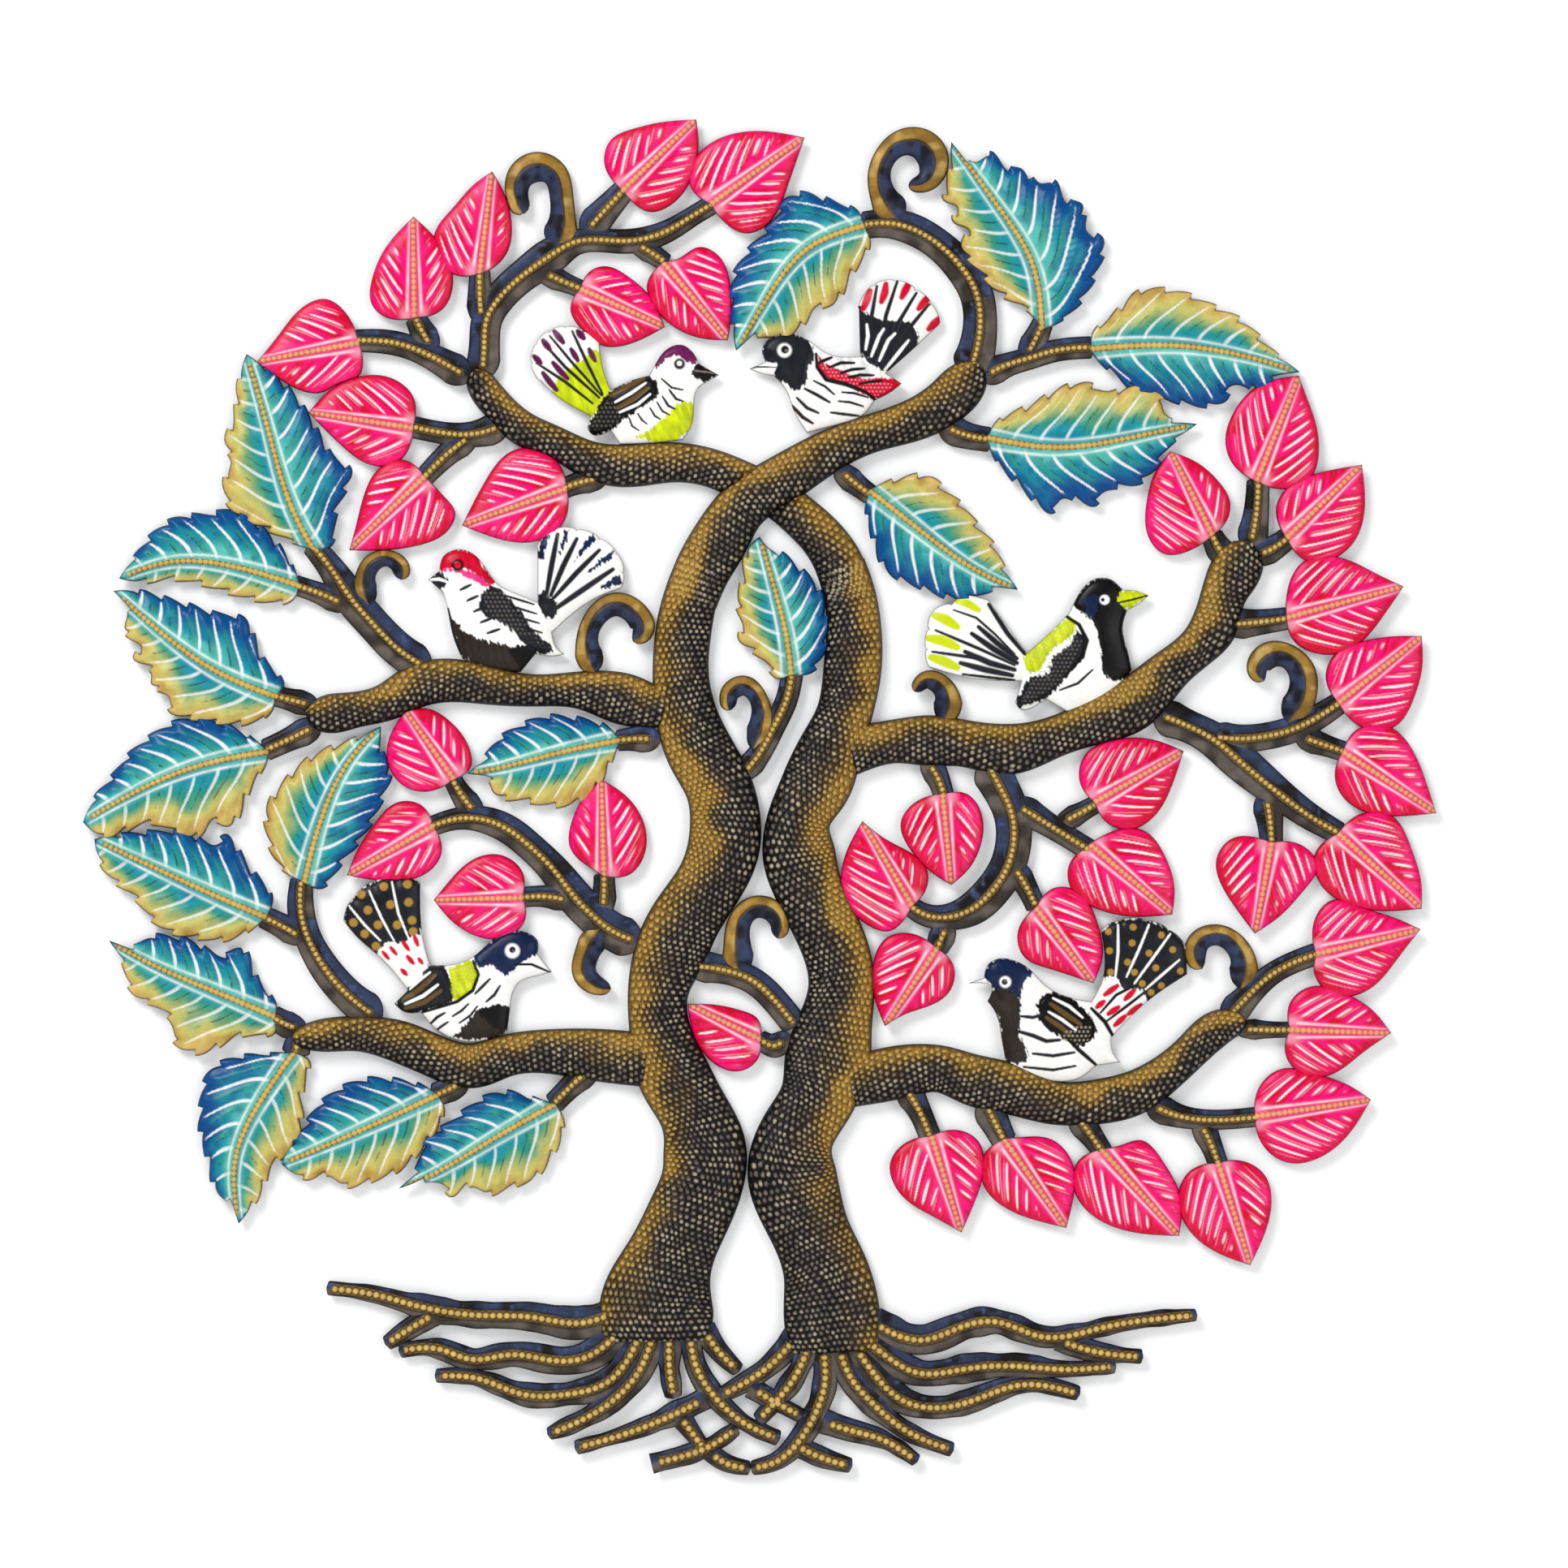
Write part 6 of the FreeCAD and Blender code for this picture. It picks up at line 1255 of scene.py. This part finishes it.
        ("line", CRIMSON, 1.2, [(-158.5, -82), (-156.5, -84)]),
        ("line", INK, 0.7, [(-119.5, -86), (-122.5, -89), (-126, -92.5)]),
        ("line", INK, 0.7, [(-115, -89), (-117.5, -93), (-121, -96)]),
        ("line", INK, 0.6, [(-129, -97), (-132, -100), (-136, -102.5)]),
        ("line", INK, 0.55, [(-125, -98), (-128, -102), (-133, -105.5)]),
        ("line", INK, 0.7, [(-139.5, -101), (-143, -103), (-146, -106)]),
        ("line", INK, 0.6, [(-138, -105), (-141, -107), (-143.5, -109)]),
        ("line", BLACK, 0.6, [(-108, -79.5), (-101, -79.5), (-93, -83)]),
        ("dots", WHITE, 3.4, [(-109.5, -73.5)]),
        ("dots", BLACK, 1.5, [(-109.5, -73)]),
        ("dots", TAUPE, 0.5, [(-109.2, -73.4)]),
    ],
    "bird_low_right": [
        ("area", NAVY, 0.4, [(99.5, -85.5), (101, -80), (106, -77), (112, -77.5), (118, -80.5), (121, -84),
                            (117, -87), (116, -93), (110, -95), (105, -92)]),
        ("area", UMBER, 0, [(104, -90), (113, -92), (116, -100), (115, -110), (118, -122), (110, -123),
                            (107, -111), (104, -100), (101, -96)]),
        ("area", BLACK, 1.3, [(124, -103), (123, -97), (127, -92.5), (134, -92.5), (141, -97), (147, -103),
                             (149, -109), (147, -113), (140, -116), (132, -111), (126, -107)]),
        ("line", OCHRE, 1.2, [(129, -97), (136, -102), (142, -106)]),
        ("line", OCHRE, 1.1, [(127, -103), (133, -107), (138, -111)]),
        ("line", WHITE, 0.7, [(130, -94.5), (137, -98), (143, -103)]),
        ("line", WHITE, 0.7, [(128, -100.5), (134, -104), (140, -108.5)]),
        ("punch", CREAM, 1.9, [(146, -113), (140, -116), (132, -111), (140, -106), (147, -106)]),
        ("line", BLACK, 1.0, [(137, -113), (141, -117), (149, -124)]),
        ("line", INK, 0.8, [(116, -102.5), (121, -103), (125, -102)]),
        ("line", INK, 1.0, [(114, -109), (121, -111), (127, -113.5), (133, -113)]),
        ("line", INK, 0.8, [(121, -119), (130, -120), (139.5, -118.5)]),
        ("line", INK, 0.7, [(117, -125), (130, -126.3), (140, -124.5)]),
        ("line", BLACK, 1.0, [(147, -99), (153, -105), (157, -112)]),
        ("line", BLACK, 0.7, [(151, -101), (158, -93), (168, -88)]),
        ("line", BLACK, 0.7, [(154, -104.5), (164, -97), (173, -90)]),
        ("line", CRIMSON, 1.5, [(153, -93), (158.5, -89)]),
        ("line", CRIMSON, 1.5, [(162, -95), (166, -91)]),
        ("line", CRIMSON, 1.5, [(149.5, -98.5), (152.5, -96)]),
        ("line", CRIMSON, 1.5, [(154.5, -101.5), (159, -98.5)]),
        ("line", CRIMSON, 1.5, [(163.5, -101.5), (169, -97.5)]),
        ("line", CRIMSON, 1.5, [(157.5, -106.5), (162, -102.5)]),
        ("area", INK, 0.2, [(153, -86), (151.5, -65), (160, -60), (171, -60), (181, -64), (189, -72),
                           (189.5, -84), (171, -96), (168, -90), (161, -90), (158, -85)]),
        ("line", WHITE, 0.6, [(158.8, -62), (158.8, -74), (157.5, -86)]),
        ("line", WHITE, 0.6, [(172.5, -62), (168, -73), (162.5, -85)]),
        ("line", WHITE, 0.6, [(182, -66), (174, -77), (166, -88)]),
        ("line", WHITE, 0.6, [(186, -77.5), (179, -83.5), (171, -90.5)]),
        ("dots", GOLD, 1.6, [(154.5, -65), (155, -73.5), (155.5, -83), (165.5, -63), (165, -70), (163, -78.5),
                              (166, -83), (178, -66.5), (172.5, -74.5), (175.5, -81), (169.5, -88),
                              (183, -73), (186.5, -82.5), (178, -89), (173.5, -92)]),
        ("area", WHITE, 0.2, [(92.5, -88), (99.5, -85.5), (103.5, -89.3), (98, -89.5)]),
        ("line", BLACK, 0.4, [(92.5, -87.8), (98, -89.2), (103.5, -89.6)]),
        ("dots", WHITE, 2.7, [(108.8, -87.3)]),
        ("dots", BLACK, 1.4, [(108.5, -87.3)]),
        ("dots", TAUPE, 0.5, [(108.8, -87)]),
    ],
}


# --- Lacquer -----------------------------------------------------------------------------------------

def lacquer(name, roughness, coat, grain, wear, shine=0.15):
    """Brushed paint under clear lacquer, with its strokes, its thin spots and the dents of the hammer."""
    material = bpy.data.materials.new(name)
    material.use_nodes = True
    nodes, links = material.node_tree.nodes, material.node_tree.links
    shader = nodes["Principled BSDF"]
    shader.inputs["Coat Weight"].default_value = coat
    shader.inputs["Coat Roughness"].default_value = 0.22
    shader.inputs["Specular IOR Level"].default_value = shine
    paint = nodes.new("ShaderNodeAttribute")
    paint.attribute_name = "Paint"
    place = nodes.new("ShaderNodeTexCoord")

    def texture(kind, scale, **settings):
        node = nodes.new(kind)
        node.inputs["Scale"].default_value = scale
        for key, value in settings.items():
            node.inputs[key].default_value = value
        links.new(place.outputs["Object"], node.inputs["Vector"])
        return node

    strokes = texture("ShaderNodeTexNoise", grain, Detail=6.0, Roughness=0.65)
    tint = nodes.new("ShaderNodeMapRange")
    tint.inputs["From Min"].default_value = 0.3
    tint.inputs["From Max"].default_value = 0.7
    tint.inputs["To Min"].default_value = 1 - wear
    tint.inputs["To Max"].default_value = 1 + wear * 0.6
    links.new(strokes.outputs["Fac"], tint.inputs["Value"])
    shade = nodes.new("ShaderNodeVectorMath")
    shade.operation = "MULTIPLY"
    links.new(paint.outputs["Color"], shade.inputs[0])
    links.new(tint.outputs["Result"], shade.inputs[1])
    links.new(shade.outputs["Vector"], shader.inputs["Base Color"])
    patches = texture("ShaderNodeTexNoise", grain * 0.3, Detail=3.0)
    gloss = nodes.new("ShaderNodeMapRange")
    gloss.inputs["To Min"].default_value = roughness - 0.12
    gloss.inputs["To Max"].default_value = roughness + 0.14
    links.new(patches.outputs["Fac"], gloss.inputs["Value"])
    links.new(gloss.outputs["Result"], shader.inputs["Roughness"])
    dents = texture("ShaderNodeTexVoronoi", grain * 0.8)
    dents.feature = "SMOOTH_F1"
    sum_node = nodes.new("ShaderNodeMath")
    sum_node.operation = "ADD"
    links.new(dents.outputs["Distance"], sum_node.inputs[0])
    links.new(strokes.outputs["Fac"], sum_node.inputs[1])
    bump = nodes.new("ShaderNodeBump")
    bump.inputs["Strength"].default_value = 0.22
    bump.inputs["Distance"].default_value = 0.0004
    links.new(sum_node.outputs["Value"], bump.inputs["Height"])
    links.new(bump.outputs["Normal"], shader.inputs["Normal"])
    return material


def plain(name, colour, roughness):
    """A plain studio surface of one colour and roughness."""
    material = bpy.data.materials.new(name)
    material.use_nodes = True
    shader = material.node_tree.nodes["Principled BSDF"]
    shader.inputs["Base Color"].default_value = (*colour, 1)
    shader.inputs["Roughness"].default_value = roughness
    return material


# --- The pieces ----------------------------------------------------------------------------------------

def between_edges(rows):
    """A centreline from rows of z, left edge and right edge, with the half-width square to it."""
    line = []
    for index, (z, left, right) in enumerate(rows):
        below, above = rows[max(index - 1, 0)], rows[min(index + 1, len(rows) - 1)]
        lean = ((above[1] + above[2]) - (below[1] + below[2])) / 2 / (above[0] - below[0])
        line.append(((left + right) / 2, z, (right - left) / 2 * math.cos(math.atan(lean))))
    return line


def tapered(width, points):
    """A root's centreline with its half-width shrinking from width, ever faster, to the tip."""
    last = len(points) - 1
    return [(x, z, width - (width - ROOT_TIP) * (index / last) ** 2) for index, (x, z) in enumerate(points)]


def bends_left(line):
    """1 if a curl winds to its left, so that its outer edge is on its right, else -1."""
    points = np.array(line)[:, :2]
    steps = np.diff(points, axis=0)
    turn = np.sum(steps[:-1, 0] * steps[1:, 1] - steps[:-1, 1] * steps[1:, 0])
    return 1 if turn > 0 else -1


# Where the bark of each top limb carries on from its trunk, as x, z and half-width, and how much higher the
# trunk's crown is there.
TOP_LIMB_STARTS = {"limb_top_right": (-30.6, 82, 12.0), "limb_top_left": (40, 82, 11.0)}
TRUNK_RISE = 1.36


def make_trunks_and_limbs():
    paint = lacquer("bark_paint", 0.34, 0.0, 420, 0.22)
    lines = {"trunk_left": (between_edges(TRUNK_LEFT), 1), "trunk_right": (between_edges(TRUNK_RIGHT), -1)}
    for name, line in LIMBS.items():
        lines[name] = (line, -1 if name in ("limb_top_left", "limb_mid_left", "limb_low_left") else 1)
    for name, (line, lit) in lines.items():
        if name.startswith("trunk"):
            shell = strip(line, bark(TRUNK_CROWN, lit, foot=5.0, dark=0.85))
        elif name == "limb_top_right":
            shell = strip([TOP_LIMB_STARTS[name]] + line, bark(LIMB_CROWN, lit, fall=TRUNK_RISE), blunt=0.8)
        elif name == "limb_top_left":
            front_limb = [point[:2] for point in LIMBS["limb_top_right"]]
            relief = bark(LIMB_CROWN, lit, over=front_limb, fall=TRUNK_RISE)
            shell = strip([TOP_LIMB_STARTS[name]] + line, relief, blunt=0.8)
        else:
            shell = strip(line, bark(LIMB_CROWN, lit), blunt=0.8)
        strip_piece(name + "_bark", [shell], paint, name)


def make_leaves():
    pink = lacquer("pink_lacquer", 0.30, 0.08, 300, 0.12)
    number = 0
    for node, leaves in PINK_LEAVES.items():
        for index, (base, tip, one_side, other_side) in enumerate(leaves, start=1):
            number += 1
            runs = [Curve([base] + one_side + [tip]).even(FINE),
                    Curve([base] + other_side + [tip]).even(FINE)[::-1]]
            plate(f"{node}_{index}", closed(runs), pink_leaf(base, tip, number), pink, node)
    teal = lacquer("teal_lacquer", 0.30, 0.08, 300, 0.14)
    for number, (node, (midrib, one_side, other_side)) in enumerate(TEAL_LEAVES.items(), start=1):
        middle = midrib[len(midrib) // 2]
        ends = [midrib[0]], [midrib[-1]]
        runs = [sawn_run(ends[0] + one_side + ends[1], middle, FINE),
                sawn_run(ends[0] + other_side + ends[1], middle, FINE)[::-1]]
        relief = teal_leaf(midrib, number)
        plate(node + "_blade", closed(runs), relief, teal, node)


def make_birds():
    paint = lacquer("bird_enamel", 0.30, 0.03, 340, 0.07)
    for name, strokes in BIRDS.items():
        points = [point for stroke in strokes for point in stroke if point != "scalloped"]
        middle = (sum(x for x, _ in points) / len(points), sum(z for _, z in points) / len(points))
        runs = []
        for stroke in strokes:
            if stroke[0] == "scalloped":
                runs.append(scalloped_run(stroke[1:], middle, FINE))
            else:
                runs.append(Curve(stroke).even(FINE))
        plate(name + "_body", closed(runs), painted_bird(name), paint, name, FINE * 0.85)


def make_scrolls_twigs_and_roots():
    curl_paint = lacquer("scroll_paint", 0.36, 0.0, 260, 0.25)
    for node, lines in SCROLLS.items():
        shells = [strip(line, scrolled(SCROLL_CROWN, -bends_left(line)), blunt=1.0, flare=1.3)
                  for line in lines]
        strip_piece(node + "_curls", shells, curl_paint, node)
    twig_paint = lacquer("twig_paint", 0.38, 0.0, 320, 0.25)
    for node, lines in TWIGS.items():
        shells = [strip(line, beaded(TWIG_CROWN, start=4.0), blunt=0.3, flare=1.1) for line in lines]
        strip_piece(node + "_beaded", shells, twig_paint, node)
    root_paint = lacquer("root_paint", 0.40, 0.0, 320, 0.25)
    for node, lines in ROOTS.items():
        relief = beaded(ROOT_CROWN, ridge=2.2, start=3.0, stop=2.0, size=1.45, pitch=3.1)
        shells = [strip(tapered(*line), relief, blunt=0.35, ragged=0.16) for line in lines]
        strip_piece(node + "_beaded", shells, root_paint, node)


# --- Studio -------------------------------------------------------------------------------------------

VIEW_SIZE = 0.6955           # width of the photographed square at the object
VIEW_X, VIEW_Z = 0.0208, -0.0966
CAMERA_AWAY = 3.2
WALL_GAP, FLOOR_Z = 0.004, -1.1
WALL_GLOW, SKY = 0.12, 0.32


def make_studio():
    """A white wall close behind the piece, clear from its back, a pale floor, soft lamps and the camera."""
    wall_paint = plain("wall_paint", (0.93, 0.93, 0.93), 0.9)
    nodes, links = wall_paint.node_tree.nodes, wall_paint.node_tree.links
    shader = nodes["Principled BSDF"]
    shader.inputs["Emission Color"].default_value = (0.9, 0.95, 1, 1)
    shader.inputs["Emission Strength"].default_value = WALL_GLOW
    geometry = nodes.new("ShaderNodeNewGeometry")
    clear = nodes.new("ShaderNodeBsdfTransparent")
    one_way = nodes.new("ShaderNodeMixShader")
    links.new(geometry.outputs["Backfacing"], one_way.inputs["Fac"])
    links.new(shader.outputs["BSDF"], one_way.inputs[1])
    links.new(clear.outputs["BSDF"], one_way.inputs[2])
    links.new(one_way.outputs["Shader"], nodes["Material Output"].inputs["Surface"])
    bpy.ops.mesh.primitive_plane_add(size=6, location=(0, WALL_GAP, 0), rotation=(math.pi / 2, 0, 0))
    wall = bpy.context.object
    wall.name = "wall"
    wall.data.materials.append(wall_paint)
    bpy.ops.mesh.primitive_plane_add(size=8, location=(0, 0, FLOOR_Z))
    floor = bpy.context.object
    floor.name = "floor"
    floor.data.materials.append(plain("floor_paint", (0.86, 0.85, 0.84), 0.8))

    def lamp(name, place, power, size, target=(0.0, 0.0, -0.1)):
        light = bpy.data.lights.new(name, "AREA")
        light.energy = power
        light.size = size
        holder = bpy.data.objects.new(name, light)
        holder.location = place
        holder.rotation_euler = (Vector(target) - Vector(place)).to_track_quat("-Z", "Y").to_euler()
        bpy.context.scene.collection.objects.link(holder)

    lamp("key", (-1.2, -2.0, 1.5), 46, 1.1)
    lamp("fill", (1.7, -2.3, 0.1), 19, 1.6)
    lamp("low_fill", (-0.3, -2.3, -1.0), 10, 1.4)
    lamp("back_fill", (0.6, 2.2, 0.8), 30, 1.6)
    world = bpy.data.worlds.new("studio")
    world.use_nodes = True
    world.node_tree.nodes["Background"].inputs["Color"].default_value = (0.97, 0.98, 1.0, 1)
    world.node_tree.nodes["Background"].inputs["Strength"].default_value = SKY
    bpy.context.scene.world = world
    bpy.context.scene.view_settings.view_transform = "Standard"

    camera = bpy.data.cameras.new("camera")
    camera.sensor_width = 36
    camera.lens = 36 * CAMERA_AWAY / VIEW_SIZE
    holder = bpy.data.objects.new("camera", camera)
    holder.location = (VIEW_X, -CAMERA_AWAY, VIEW_Z)
    holder.rotation_euler = (math.pi / 2, 0, 0)
    bpy.context.scene.collection.objects.link(holder)
    bpy.context.scene.camera = holder


make_studio()
make_trunks_and_limbs()
make_leaves()
make_birds()
make_scrolls_twigs_and_roots()
